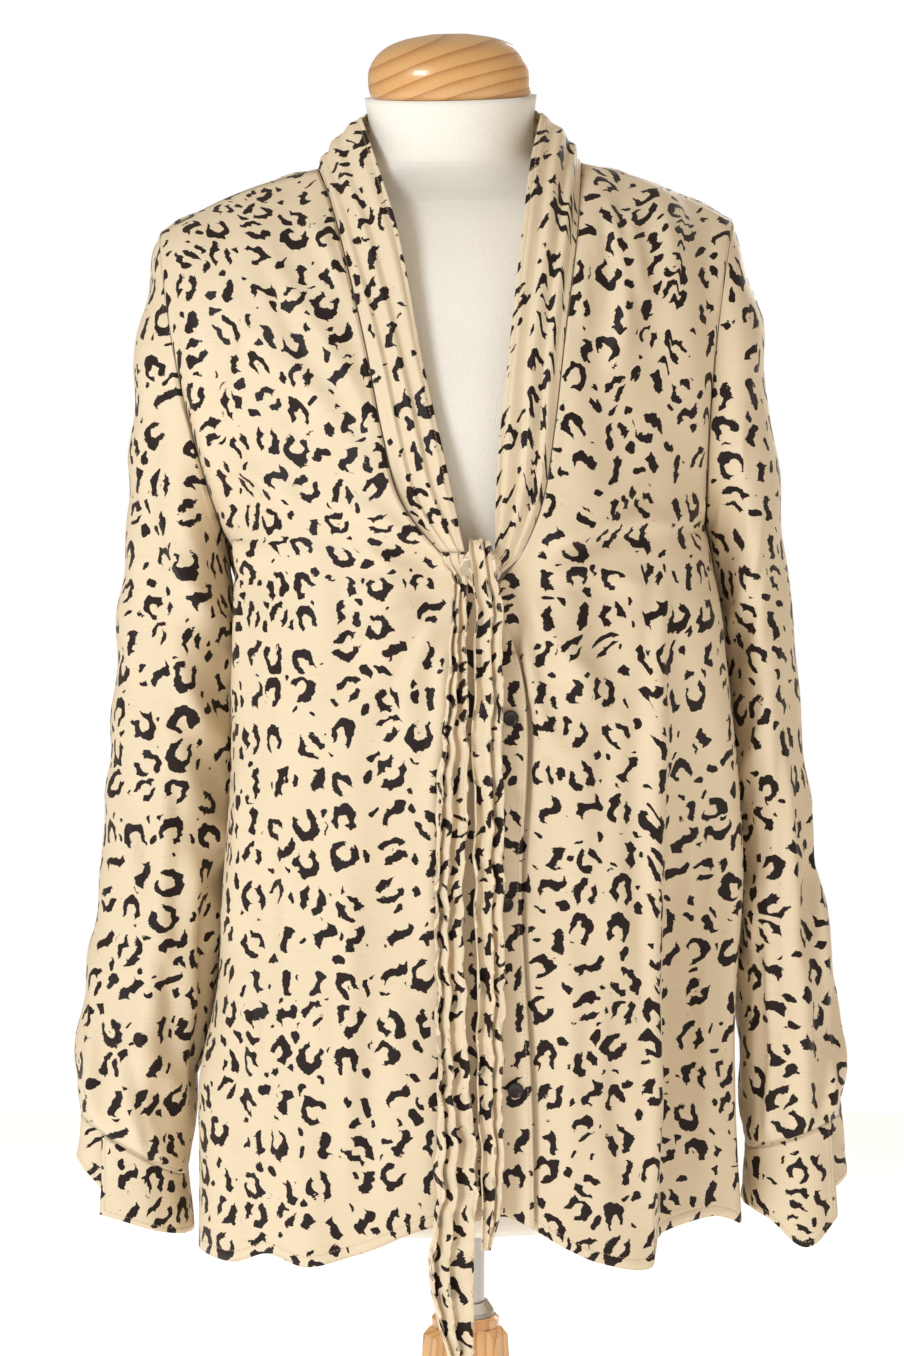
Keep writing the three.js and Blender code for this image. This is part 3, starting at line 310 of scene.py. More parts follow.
# The knot, the collar's end behind it and the shorter tie end that rolls over it
KNOT = {"x": 18, "y": -137.4, "half_width": 10.5, "half_depth": 3.4, "top": 1141.0, "bottom": 1118.5}
TUCKED_END = {"x": 26.0, "spread": 8.0, "y": -133.4, "z": 1119.0, "slope": 6}
ROLL = {"back_y": -134.5, "rise": 6.2}
PLEAT_HOOK = 1.45

# Tie ends, section by section: both edges and the height of the lengthwise folds
TIE_LONG = table("z left right y fold", """
    1140 -8 8 -135.5 0.8, 1128 -3 10.4 -138 1.8, 1116 -1 10.6 -139 2.0, 1100 -2.5 9 -140 2.2,
    1085 -4 8.6 -141 2.6, 1048 -8 9 -141.5 3.0, 987 -15 7.4 -141.5 3.2, 930 -17 5.6 -141.5 3.3,
    862 -18.5 5.2 -141.5 3.3, 799 -19 6.6 -141.5 3.3, 748 -21 8.2 -141.5 3.2, 717 -25.5 8.6 -141.5 3.0,
    684 -28.5 7.4 -141.5 2.8, 640 -16 5.4 -142 2, 596 -1 4 -142 0.6
""")
TIE_SHORT = table("z left right y fold", """
    1141 8.2 26 -145.6 1.3, 1125 9.2 29.5 -145.4 1.8, 1110 9.6 31.2 -144.8 2.1,
    1085 9.2 31.8 -143.6 2.4, 1048 9.6 32.4 -142 2.7, 987 8 31.6 -141.6 2.8, 930 6.2 30 -141.6 2.8,
    862 5.8 27.6 -141.6 2.8, 799 7.4 26.6 -141.6 2.8, 750 8.8 25.8 -141.6 2.4, 728 9.4 23.8 -141.6 1.8,
    704 9.4 16 -141.6 0.7
""")

# A button from its back to the sunk middle of its face, in shares of its radius and thickness
BUTTON_PROFILE = table(
    "radius lift", "0.8 0, 0.97 0.3, 1 0.55, 0.96 0.85, 0.86 1, 0.74 0.95, 0.62 0.72, 0.3 0.7"
)

# Dress form from its bottom to the top of the neck, and the wooden cap
TORSO = table("z width front back x y tilt", """
    700 128 86 80 0 0 0, 706 137 95 88 0 0 0, 770 145 100 95 0 0 0, 830 141 98 92 0 0 0,
    890 130 95 86 0 0 0, 960 119 95 80 0 0 0, 1030 117 98 80 0 0 0, 1100 124 110 88 0 0 0,
    1160 131 119 94 0 0 0, 1220 140 116 97 1 0 0, 1270 147 100 88 1 0 0, 1318 154 81 74 1 0 0,
    1348.3 152.5 61 58 3 0 0, 1364.3 131.5 50 49 3 0 0, 1375.8 100 51 47 3 -1 0.2,
    1385 72 53 47 4 -4 0.4, 1396 56 51 47 5 -8 0.7, 1415 53.5 49 48 5.5 -12 0.9,
    1434 56 50 50 5.5 -15 1
""")
CAP_RADIUS = 53.5
CAP_DEPTH_SHARE = 0.93
CAP_LIFT = 1434.35
CAP_Y = -15.0
CAP = table("height share", "0 0.955, 3 0.985, 10 1, 18 0.985, 26 0.9, 32.5 0.75, 37 0.52, 39.5 0.24")


# Small helpers
def mix(a, b, t):
    return a + (b - a) * t


def circle_angles(count):
    return np.linspace(0, FULL_TURN, count + 1)[:-1]


def smooth(value):
    t = np.clip(value, 0, 1)
    return t * t * (3 - 2 * t)


def points(x, y, z):
    """Arrays of x, y and z as one array of points."""
    return np.stack(np.broadcast_arrays(x, y, z), axis=-1).astype(float)


def read(rows, key, column, value):
    """One column of a table at values of its key, on a smooth curve through the rows."""
    keys, values = rows[key], rows[column]
    if keys[-1] < keys[0]:
        keys, values = keys[::-1], values[::-1]
    last = len(keys) - 1
    before = np.clip(np.arange(last + 1) - 1, 0, last)
    after = np.clip(np.arange(last + 1) + 1, 0, last)
    slopes = (values[after] - values[before]) / (keys[after] - keys[before])
    value = np.asarray(value, float)
    i = np.clip(np.searchsorted(keys, value) - 1, 0, last - 1)
    span = keys[i + 1] - keys[i]
    t = np.clip((value - keys[i]) / span, 0, 1)
    bend = span * (slopes[i] * t * (1 - t) ** 2 - slopes[i + 1] * t * t * (1 - t))
    return mix(values[i], values[i + 1], smooth(t)) + bend


def rows_of(rows):
    """The rows of a table, each as a dictionary."""
    return [dict(zip(rows, values)) for values in zip(*rows.values())]


def place(grid):
    """Points of the form's upright frame as metres in the part's frame."""
    up = grid[..., 2] - FORM_BOTTOM
    x = grid[..., 0] * math.cos(FORM_LEAN) - up * math.sin(FORM_LEAN) + BASE_SHIFT[0]
    z = FORM_BOTTOM + grid[..., 0] * math.sin(FORM_LEAN) + up * math.cos(FORM_LEAN)
    return points(x, grid[..., 1] + BASE_SHIFT[1], z) / 1000


# Folds and creases
def fold_height(folds, x, z):
    """Height of the large folds at places in the front or back view."""
    height = np.zeros(np.broadcast(x, z).shape)
    for fold in rows_of(folds):
        dx, dz = fold["x2"] - fold["x1"], fold["z2"] - fold["z1"]
        along = ((x - fold["x1"]) * dx + (z - fold["z1"]) * dz) / (dx * dx + dz * dz)
        t = np.clip(along, 0, 1)
        off = np.hypot(x - fold["x1"] - t * dx, z - fold["z1"] - t * dz) / fold["width"]
        fade = smooth(along * 4) * smooth((1.05 - along) * (20 if dz < -150 else 3))
        height += fold["height"] * np.exp(-off * off) * fade
    return height


def crease_height(creases, a, b, a_scale=1.0, wrap=None):
    """Height of fine creases: each bows sideways, is wider at one end and has a trough beside its ridge.

    a_scale gives the millimetres of one unit of a, and wrap the units of a full turn of a closed piece.
    """
    height = np.zeros(np.broadcast(a, b).shape)
    for crease in rows_of(creases):
        da = (crease["a2"] - crease["a1"]) * a_scale
        db = crease["b2"] - crease["b1"]
        gap = a - crease["a1"]
        if wrap:
            gap = (gap + wrap / 2) % wrap - wrap / 2
        gap = gap * a_scale
        length = math.hypot(da, db)
        along = (gap * da + (b - crease["b1"]) * db) / length**2
        off = (gap * db - (b - crease["b1"]) * da) / length
        off = off - crease["bow"] * 4 * along * (1 - along)
        off = off / (crease["width"] * mix(0.75, 1.25, np.clip(along, 0, 1)))
        fade = smooth(along * 3.5) * smooth((1 - along) * 3.5)
        height += crease["height"] * (np.exp(-off * off) - 0.45 * np.exp(-((off - 1.7) ** 2))) * fade
    return height


def ripples(a, b, seed, across, along, height):
    """Uneven soft ripples: waves of several lengths across, which sway along, with seeded phases."""
    draw = np.random.default_rng(seed)
    total = 0.0
    for _ in range(6):
        turn, sway, phase, share, bend = draw.uniform(0, 1, 5)
        line = a + mix(-0.22, 0.22, turn) * b
        bending = 1.1 * np.sin(FULL_TURN * (b / (along * mix(0.7, 1.4, bend)) + sway))
        total = total + np.sin(FULL_TURN * (line / (across * mix(0.6, 1.7, share)) + phase) + bending)
    return height * total / math.sqrt(6)


def grid_normals(grid, closed=False):
    """Unit normals of a grid of points."""
    along = np.gradient(grid, axis=0)
    if closed:
        across = np.roll(grid, -1, axis=1) - np.roll(grid, 1, axis=1)
    else:
        across = np.gradient(grid, axis=1)
    normal = np.cross(across, along)
    return normal / np.maximum(np.linalg.norm(normal, axis=-1, keepdims=True), 1e-9)


def displaced(grid, height, sense, closed=False):
    return grid + sense * grid_normals(grid, closed) * height[..., None]


def softened(grid):
    """The grid with the bend at the underarm's height eased, away from its side edges."""
    _, _, inner, outer = edge_distances(grid)
    row = np.abs(np.arange(len(grid)) - ROWS_LOW)[:, None]
    near = smooth(1 - row / SOFTENING["reach"])
    share = 0.5 * near * smooth(np.minimum(inner, outer) / SOFTENING["edge"])
    y = grid[..., 1].copy()
    for _ in range(SOFTENING["rounds"]):
        between = (y[:-2] + y[2:]) / 2
        y[1:-1] = mix(y[1:-1], between, share[1:-1])
    return points(grid[..., 0], y, grid[..., 2])


def arc(grid, axis):
    """Length along a grid from its first row or column."""
    steps = np.linalg.norm(np.diff(grid, axis=axis), axis=-1)
    start = np.zeros_like(np.take(steps, [0], axis=axis))
    return np.concatenate([start, np.cumsum(steps, axis=axis)], axis=axis)


def edge_distances(grid):
    """Distance to the first row, last row, first column and last column."""
    down, side = arc(grid, 0), arc(grid, 1)
    return down, down[-1:] - down, side, side[:, -1:] - side


# Body of the blouse
def armhole(side, degrees):
    loop = ARMHOLE[side]
    angle = np.radians(degrees)
    up = (1 - np.cos(angle)) / 2
    reach = np.where(np.sin(angle) > 0, -ARMHOLE_REACH["front"], ARMHOLE_REACH["back"])
    bow = loop["bow"] * np.sin(angle) ** 2
    return points(
        side * (mix(loop["low_x"], loop["top_x"], up) + bow),
        reach * np.abs(np.sin(angle)),
        mix(UNDERARM, ARMHOLE_TOP, up),
    )


def body_width(side, z):
    return read(BODY, "z", "left" if side == LEFT else "right", z)


def side_seam(side, z):
    near = smooth((UNDERARM - z) / TUCK_LENGTH)
    tuck = mix(body_width(side, UNDERARM) - ARMHOLE[side]["low_x"], TUCK, near)
    return points(side * (body_width(side, z) - tuck), SEAM_Y * near, z)


def roundness(x):
    return np.maximum(1 - np.abs(x) ** ROUNDNESS, 0) ** (1 / ROUNDNESS)


def step_back(x, z, width):
    """How far the deep pleat of the right front sets the cloth back."""
    drop = smooth((STEP["top_z"] - z) / (STEP["top_z"] - STEP["full_z"]))
    edge = mix(STEP["top_x"], STEP["low_x"], np.clip((STEP["top_z"] - z) / STEP["run"], 0, 1))
    beyond = np.clip((x - edge) / (width - edge), 0, 1)
    return STEP["depth"] * drop * smooth((x - edge) / STEP["width"]) * (1 - beyond**4)


def front_column(side, share, inner_x, widest_x):
    """Place across a front: the placket's width, then to the widest line, then behind it."""
    column = share * FRONT_COLUMNS
    strip, turn = 2, FRONT_COLUMNS - 2
    strip_x = inner_x + side * PLACKET_WIDTH
    t = np.clip((column - strip) / (turn - strip), 0, 1)
    beyond = mix(strip_x, widest_x, np.sin(t * np.pi / 2))
    x = np.where(column <= strip, mix(inner_x, strip_x, column / strip), beyond)
    return x, np.maximum(column - turn, 0) / 2


def front_points(side, share, level):
    """Points of a front: level 0 is the hem, 1 the height of the underarm and 2 the shoulder seam."""
    edge = EDGE[side]
    low, high = np.minimum(level, 1), np.maximum(level - 1, 0)
    hem_in = read(FRONT_HEM, "x", "z", edge["x"][0])
    hem_out = read(FRONT_HEM, "x", "z", side * HEM_HALF)
    inner_z = np.where(level <= 1, mix(hem_in, KNOT_Z, low), mix(KNOT_Z, NECK_SIDE_Z, high))
    inner_x = read(edge, "z", "x", inner_z)
    inner_y = -read(edge, "z", "depth", inner_z)
    seam = side_seam(side, mix(hem_out, UNDERARM, low))
    outer = np.where((level <= 1)[..., None], seam, armhole(side, SHOULDER_TURN * high))
    outer_x, outer_y, outer_z = outer[..., 0], outer[..., 1], outer[..., 2]
    lowered = smooth((UNDERARM - outer_z) / TUCK_LENGTH)
    widest = mix(np.abs(outer_x), body_width(side, outer_z), lowered)
    turn_y = mix(outer_y, WIDEST_Y, lowered)
    flat_x, behind = front_column(side, share, inner_x, side * widest)
    x = mix(flat_x, outer_x, 1 - np.cos(behind * np.pi / 2))
    open_by = 1 + ARMHOLE_OPEN * smooth(high * 3)
    rim = roundness(1 / open_by)
    depth = roundness(flat_x / (widest * open_by)) - rim
    depth_in = roundness(inner_x / (widest * open_by)) - rim
    y = turn_y + (inner_y - turn_y) * depth / depth_in
    y = mix(y, outer_y, np.sin(behind * np.pi / 2))
    across = (flat_x - inner_x) / (side * widest - inner_x)
    z = mix(inner_z, outer_z, across)
    z = z + smooth(high * 1.4 - 0.4) * SHOULDER_ARCH * np.sin(np.pi * across)
    hem = read(FRONT_HEM, "x", "z", flat_x) - mix(hem_in, hem_out, across)
    z = z + np.where(level < 1, hem * (1 - low) ** 2, 0)
    calm = smooth((1 - across) * 6)
    y = y - fold_height(FRONT_FOLDS, x, z) * calm * smooth((2 - level) * 4)
    if side == RIGHT:
        y = y + step_back(flat_x, z, widest)
        cover = read(EDGE[LEFT], "z", "x", z) + UNDERLAP
        under = smooth((cover - x) / UNDERLAP_TURN) * smooth((UNDERLAP_TOP - z) / UNDERLAP_FADE)
        y = y + UNDERLAP * under
    return points(x, y, z)


def back_top(share):
    """Top edge of the back: shoulder seams outside, neck curve in the middle."""
    share = np.asarray(share, float)
    left = share < 0
    away = np.abs(share)
    side = np.where(left, -1, 1)
    corner = np.where(left, NECK_SIDE[LEFT], NECK_SIDE[RIGHT])
    angle = np.minimum(away / BACK_NECK_SHARE, 1) * np.pi / 2
    neck = points(
        side * corner * np.sin(angle),
        mix(NECK_SIDE_Y, NECK_BACK_Y, np.cos(angle)),
        mix(NECK_SIDE_Z, NECK_BACK_Z, np.cos(angle)),
    )
    t = np.clip((away - BACK_NECK_SHARE) / (1 - BACK_NECK_SHARE), 0, 1)[..., None]
    end = np.where(left[..., None], armhole(LEFT, SHOULDER_TURN), armhole(RIGHT, SHOULDER_TURN))
    start = points(side * corner, NECK_SIDE_Y, NECK_SIDE_Z)
    shoulder = mix(start, end, t)
    shoulder[..., 2] += SHOULDER_ARCH * np.sin(np.pi * t[..., 0])
    shoulder[..., 1] += 1.5 * SEAM
    return np.where((away <= BACK_NECK_SHARE)[..., None], neck, shoulder)


def back_points(share, level):
    """Points of the back: level 0 is the hem, 1 the height of the underarm and 2 the top edge."""
    left = share < 0
    away = np.abs(share)
    low, high = np.minimum(level, 1), np.maximum(level - 1, 0)
    hem = mix(BACK_HEM["middle"], BACK_HEM["side"], away**3)
    hem = hem + BACK_HEM["wave"] * np.sin(away * BACK_HEM["waves"]) * (1 - away)
    z = mix(hem, UNDERARM, low)
    seam = np.where(left[..., None], side_seam(LEFT, z), side_seam(RIGHT, z))
    seam[..., 1] += SEAM
    round_off = roundness(np.sin(away * np.pi / 2))
    x = seam[..., 0] * np.sin(away * np.pi / 2)
    depth = read(BACK_DEPTH, "z", "back", z)
    folds = fold_height(BACK_FOLDS, x, z) * smooth((1 - away) * 6)
    lower = points(x, seam[..., 1] + (depth - seam[..., 1] + SEAM) * round_off + folds, z)
    turn = high * np.pi / 2
    fall = np.maximum(np.cos(turn), 0) ** BACK_CURVE
    rise = np.sin(turn) ** BACK_CURVE

    def over(start, end):
        return points(
            mix(start[..., 0], end[..., 0], high),
            mix(end[..., 1], start[..., 1], fall),
            mix(start[..., 2], end[..., 2], rise),
        )

    edge = over(seam, back_top(np.where(left, -1.0, 1.0)))
    degrees = -(360 - SHOULDER_TURN) * high
    loop = np.where(left[..., None], armhole(LEFT, degrees), armhole(RIGHT, degrees))
    shift = loop - edge
    shift[..., 1] += 1.5 * SEAM
    upper = over(lower, back_top(share))
    upper[..., 0] += shift[..., 0] * away**3
    upper[..., 1] += shift[..., 1] * (1 - round_off)
    upper[..., 2] += shift[..., 2] * away**3
    return np.where((level <= 1)[..., None], lower, upper)


def sleeve_points(side, share, angle, spread=0.0):
    """Points of a sleeve: share runs down it, angle from the outside over the front to the body side."""
    rows = dict(SLEEVE[side], i=np.arange(len(SLEEVE[side]["y"]), dtype=float))
    last = len(rows["i"]) - 1
    down = share * last
    out_x, in_x = read(rows, "i", "out_x", down), read(rows, "i", "in_x", down)
    outward, forward = np.cos(np.radians(angle)), np.sin(np.radians(angle))
    reach = read(rows, "i", "reach", down) + spread
    for fold in rows_of(SLEEVE_FOLDS[side]):
        gap = (angle - fold["at"] + 540) % 360 - 180
        fade = smooth((share - fold["top"]) / 0.12) * smooth((fold["low"] + 0.02 - share) / 0.12)
        reach = reach + fold["height"] * np.exp(-((gap / fold["width"]) ** 2)) * fade
    bow = ARMHOLE[side]["bow"] * forward**2 * smooth(1 - down)
    wide = (out_x - in_x) / 2
    square = mix(1, SLEEVE_FULLNESS, smooth(down / 2))
    bend = np.sign(forward) * np.abs(forward) ** square
    return points(
        side * ((out_x + in_x) / 2 + wide * (1 + spread / wide) * outward + bow),
        read(rows, "i", "y", down) - reach * bend,
        mix(read(rows, "i", "in_z", down), read(rows, "i", "out_z", down), (outward + 1) / 2),
    )


def collar_edges(side, t):
    """Seam edge and free edge of the collar: t is 0 at the knot, 1 at the neck's side and 2 behind it."""
    t = np.asarray(t, float)
    z = mix(KNOT_Z, NECK_SIDE_Z, np.minimum(t, 1))
    free = COLLAR_FREE[side]
    seam_low = points(read(EDGE[side], "z", "x", z), -read(EDGE[side], "z", "depth", z), z)
    free_low = points(read(free, "z", "x", z), read(free, "z", "y", z), read(free, "z", "top", z))
    angle = np.maximum(t - 1, 0) * np.pi / 2
    rise, fall = np.sin(angle), np.maximum(np.cos(angle), 0)
    seam_high = points(
        side * NECK_SIDE[side] * fall,
        mix(NECK_SIDE_Y, NECK_BACK_Y, rise),
        mix(NECK_SIDE_Z, NECK_BACK_Z, rise),
    )
    free_high = points(
        mix(NECK_CENTRE_X, free["x"][-1], fall**0.9),
        mix(free["y"][-1], COLLAR_BACK_Y, rise),
        mix(free["top"][-1], COLLAR_TOP_Z, smooth(rise)),
    )
    front = (t <= 1)[..., None]
    return np.where(front, seam_low, seam_high), np.where(front, free_low, free_high)


# Meshes
def add_object(name, verts, faces, uv=None, attributes=None):
    """A smooth-shaded object from vertices in metres, faces, UVs of face corners and vertex attributes."""
    mesh = bpy.data.meshes.new(name)
    mesh.from_pydata(verts.tolist(), [], [list(map(int, face)) for face in faces])
    mesh.polygons.foreach_set("use_smooth", [True] * len(mesh.polygons))
    if uv is not None:
        layer = mesh.uv_layers.new(name="cloth")
        layer.data.foreach_set("uv", np.asarray(uv, np.float32).ravel())
    for key, values in (attributes or {}).items():
        attribute = mesh.attributes.new(key, "FLOAT", "POINT")
        attribute.data.foreach_set("value", np.asarray(values, np.float32).ravel())
    mesh.update()
    item = bpy.data.objects.new(name, mesh)
    bpy.context.scene.collection.objects.link(item)
    return item


def shell(name, grid, sense, uv, thickness=CLOTH, closed=False, hem=None, seam=None):
    """A thin sheet of cloth behind a grid of points of its face, with its edges closed.

    uv is in millimetres, with one more column than the grid where it is closed. hem and seam are
    distances to the nearest stitched edge and the nearest seam.
    """
    rows, columns = grid.shape[:2]
    count = rows * columns
    inner = displaced(grid, np.full((rows, columns), -thickness), sense, closed)
    verts = place(np.concatenate([grid.reshape(-1, 3), inner.reshape(-1, 3)]))
    last = columns if closed else columns - 1

    def corner(i, j, back):
        return i * columns + j % columns + back * count, i, j

    def quads(i, j, ends):
        """Corners of quads as index arrays, for steps (di, dj, back) from each place (i, j)."""
        return [corner(i + di, j + dj, back) for di, dj, back in ends]

    i, j = (part.ravel() for part in np.mgrid[0 : rows - 1, 0:last])
    across = np.arange(last)
    down = np.arange(rows - 1)
    sets = [
        quads(i, j, ((0, 0, 0), (0, 1, 0), (1, 1, 0), (1, 0, 0))),
        quads(i, j, ((0, 0, 1), (1, 0, 1), (1, 1, 1), (0, 1, 1))),
        quads(0 * across, across, ((0, 1, 0), (0, 0, 0), (0, 0, 1), (0, 1, 1))),
        quads(0 * across + rows - 1, across, ((0, 0, 0), (0, 1, 0), (0, 1, 1), (0, 0, 1))),
    ]
    if not closed:
        sets.append(quads(down, 0 * down, ((0, 0, 0), (1, 0, 0), (1, 0, 1), (0, 0, 1))))
        sets.append(quads(down, 0 * down + columns - 1, ((1, 0, 0), (0, 0, 0), (0, 0, 1), (1, 0, 1))))
    faces = np.concatenate([np.stack([part[0] for part in ends], axis=1) for ends in sets])
    uvs = np.concatenate([np.stack([uv[part[1], part[2]] for part in ends], axis=1) for ends in sets])
    if sense < 0:
        faces, uvs = faces[:, ::-1], uvs[:, ::-1]
    attributes = {"inside": np.repeat([0.0, 1.0], count)}
    for key, values in (("hem", hem), ("seam", seam)):
        values = np.full((rows, columns), FAR_OFF) if values is None else values
        attributes[key] = np.tile(values.ravel(), 2)
    return add_object(name, verts, faces, uvs / 1000, attributes)


def flat_uv(grid, start_u, start_v, direction=1, closed=False, upward=False):
    """Places of the grid's points on the flat cloth, by lengths along the grid."""
    if closed:
        grid = np.concatenate([grid, grid[:, :1]], axis=1)
    down = arc(grid, 0)
    if upward:
        down = grid[-1:, :, 2] + down[-1:] - down
    return np.stack([start_u + direction * arc(grid, 1), start_v + down], axis=-1)


def sleeve_uv(side, grid, start_u, start_v):
    """Places of a sleeve's points on the flat cloth: level lengths round it, and lengths up from its foot.

    The rings slant above LEVEL_ROW, so a point there takes the place of the point of that row which
    lies in the same direction from the arm's middle.
    """
    closed = np.concatenate([grid, grid[:, :1]], axis=1)
    down = arc(closed, 0)
    around = arc(closed * (1, 1, 0), 1)
    front = SLEEVE_COLUMNS * 3 // 4
    around -= around[:, front : front + 1]
    middle = (closed.min(axis=1, keepdims=True) + closed.max(axis=1, keepdims=True)) / 2
    away = closed - middle
    turn = np.unwrap(np.arctan2(away[..., 1], -side * away[..., 0]), axis=1)
    turn *= np.sign(turn[LEVEL_ROW, -1] - turn[LEVEL_ROW, 0])
    for row in range(LEVEL_ROW):
        around[row] = np.interp(turn[row], turn[LEVEL_ROW], around[LEVEL_ROW])
    return np.stack([start_u + around, start_v + closed[-1:, :, 2] + down[-1:] - down], axis=-1)


def lofted(name, rings):
    """A full body through closed rings of local points, with its ends closed."""
    rows, steps = rings.shape[:2]
    verts = place(rings.reshape(-1, 3))
    i, j = (part.ravel() for part in np.mgrid[0 : rows - 1, 0:steps])
    k = (j + 1) % steps
    sides = np.stack([i * steps + j, i * steps + k, (i + 1) * steps + k, (i + 1) * steps + j], axis=1)
    faces = [list(face) for face in sides]
    faces.append(list(range(steps))[::-1])
    faces.append(list(range((rows - 1) * steps, rows * steps)))
    closed = np.concatenate([rings, rings[:, :1]], axis=1)
    u, v = arc(closed, 1), arc(closed, 0)
    uv = []
    for row, step in zip(i, j):
        uv += [(u[row, step], v[row, step]), (u[row, step + 1], v[row, step + 1])]
        uv += [(u[row + 1, step + 1], v[row + 1, step + 1]), (u[row + 1, step], v[row + 1, step])]
    for ring in (rings[0][::-1], rings[-1]):
        uv += [(point[0], point[1]) for point in ring]
    return add_object(name, verts, faces, np.array(uv) / 1000)


def finish_piece(item, material, node):
    item.data.materials.append(material)
    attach(item, "root")
    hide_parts(node)


# Materials
def operation(name, swapped=False):
    """A method of Value that adds a math node."""

    def method(self, *others):
        values = (self, *others)
        return self.nodes.math(name, *(values[::-1] if swapped else values))

    return method


class Value:
    """An output of a shader node, with which sums and products can be written."""

    def __init__(self, nodes, socket):
        self.nodes = nodes
        self.socket = socket

    __add__ = operation("ADD")
    __sub__ = operation("SUBTRACT")
    __rsub__ = operation("SUBTRACT", swapped=True)
    __mul__ = operation("MULTIPLY")
    __truediv__ = operation("DIVIDE")
    __pow__ = operation("POWER")
    __abs__ = operation("ABSOLUTE")
    sine = operation("SINE")
    cosine = operation("COSINE")
    root = operation("SQRT")
    fraction = operation("FRACT")
    length = operation("LENGTH")
    above = operation("GREATER_THAN")
    highest = operation("MAXIMUM")
    lowest = operation("MINIMUM")
    smooth_highest = operation("SMOOTH_MAX")
    angle_from = operation("ARCTAN2")


class Nodes:
    """A new material, and short ways to add and join its shader nodes."""

    def __init__(self, name):
        self.material = bpy.data.materials.new(name)
        self.material.use_nodes = True
        self.tree = self.material.node_tree

    def join(self, value, socket):
        if isinstance(value, Value):
            self.tree.links.new(value.socket, socket)
        else:
            socket.default_value = value

    def add(self, kind, inputs, *outputs, **settings):
        """A new node's named outputs, as one value or several."""
        node = self.tree.nodes.new("ShaderNode" + kind)
        for name, setting in settings.items():
            setattr(node, name, setting)
        for name, value in inputs.items():
            self.join(value, node.inputs[name])
        values = [Value(self, node.outputs[name]) for name in outputs]
        return values[0] if len(values) == 1 else values

    def finished(self, inputs):
        """The material, with its shader's inputs set or joined."""
        shader = self.tree.nodes["Principled BSDF"]
        for name, value in inputs.items():
            self.join(value, shader.inputs[name])
        return self.material

    def math(self, name, *values):
        """A math node's value, or a vector math node's where one of the values is a vector."""
        kind = "Math"
        if any(isinstance(value, Value) and value.socket.type != "VALUE" for value in values):
            kind = "VectorMath"
            values = [(value,) * 3 if isinstance(value, (int, float)) else value for value in values]
        output = "Value" if name == "LENGTH" else 0
        return self.add(kind, dict(enumerate(values)), output, operation=name)

    def between(self, value, low, high):
        """0 below low and 1 above high, smooth between; low may be the higher one."""
        inputs = {"Value": value, "From Min": low, "From Max": high}
        return self.add("MapRange", inputs, "Result", interpolation_type="SMOOTHSTEP")

    def blend(self, share, a, b):
        return self.add("Mix", {0: share, 6: a, 7: b}, 2, data_type="RGBA")

    def lerp(self, share, a, b):
        return self.add("Mix", {0: share, 2: a, 3: b}, 0, data_type="FLOAT")

    def attribute(self, name):
        return self.add("Attribute", {}, "Fac", attribute_name=name)

    def noise(self, vector, scale, detail, output="Fac"):
        return self.add("TexNoise", {"Vector": vector, "Scale": scale, "Detail": detail}, output)

    def bump(self, height, strength, distance):
        inputs = {"Height": height, "Strength": strength, "Distance": distance}
        return self.add("Bump", inputs, "Normal")

    def parts(self, vector):
        return self.add("SeparateXYZ", {"Vector": vector}, "X", "Y", "Z")

    def cloth_place(self):
        """Places on the flat cloth in millimetres."""
        return self.add("UVMap", {}, "UV", uv_map="cloth") * 1000.0

    def object_place(self):
        return self.add("TexCoord", {}, "Object")


def rgb(red, green, blue):
    """A colour from its screen values, 0 to 255, as linear light."""
    shares = np.array([red, green, blue]) / 255
    light = np.where(shares <= 0.04045, shares / 12.92, ((shares + 0.055) / 1.055) ** 2.4)
    return (*light.tolist(), 1.0)


# Animal print in millimetres: large open marks in jittered cells, and small blots in the room between
PRINT = {
    "cell": 25.5,
    "jitter": 0.5,
    "border": 1.6,
    "border_blend": 2.0,
    "bars_above": 0.62,
    "opened_above": 0.3,
    "flipped_above": 0.55,
    "turns": 0.36,
    "small_cell": 16.5,
    "small_jitter": 0.75,
    "room": 3.2,
    "room_blend": 7.0,
    "wobble": 8.8,
    "teeth": 1.8,
    "ink_edge": 0.12,
}
RING = {
    "radius": 6.8,
    "stroke": 2.5,
    "widths": (0.74, 0.98),
    "heights": (0.95, 1.18),
    "foot": (0.72, 0.9),
}
BAR = {"thick": 2.8, "taper": 0.08, "bend": 0.34, "lengths": (6.0, 9.6), "sways": (5.0, 0.5)}
BLOT = {"sizes": (2.2, 5.8), "narrow": (1.3, 2.2), "turns": 0.45}

# Lengths of the threads' repeats in millimetres, and the middle of the cap's growth rings in metres
WEAVE = {"twill": 0.45, "cross": 0.4, "wale": 1.5, "loop": 1.1}
CAP_RINGS_MIDDLE = (0.02, -0.04, 1.40)


def voronoi(n, where, size, jitter, feature, *outputs):
    inputs = {"Vector": where, "Scale": 1 / size, "Randomness": jitter}
    return n.add("TexVoronoi", inputs, *outputs, voronoi_dimensions="2D", feature=feature)


def cells(n, where, size, jitter):
    """Middles of jittered cells, and three chances for each."""
    middle, colour = voronoi(n, where, size, jitter, "F1", "Position", "Color")
    return middle, n.add("SeparateColor", {"Color": colour}, "Red", "Green", "Blue")


def turned_about(n, where, middle, turn):
    """Coordinates round a middle, turned by a share of a full circle."""
    inputs = {"Vector": where - middle, "Angle": turn * FULL_TURN}
    return n.parts(n.add("VectorRotate", inputs, "Vector", rotation_type="Z_AXIS"))[:2]


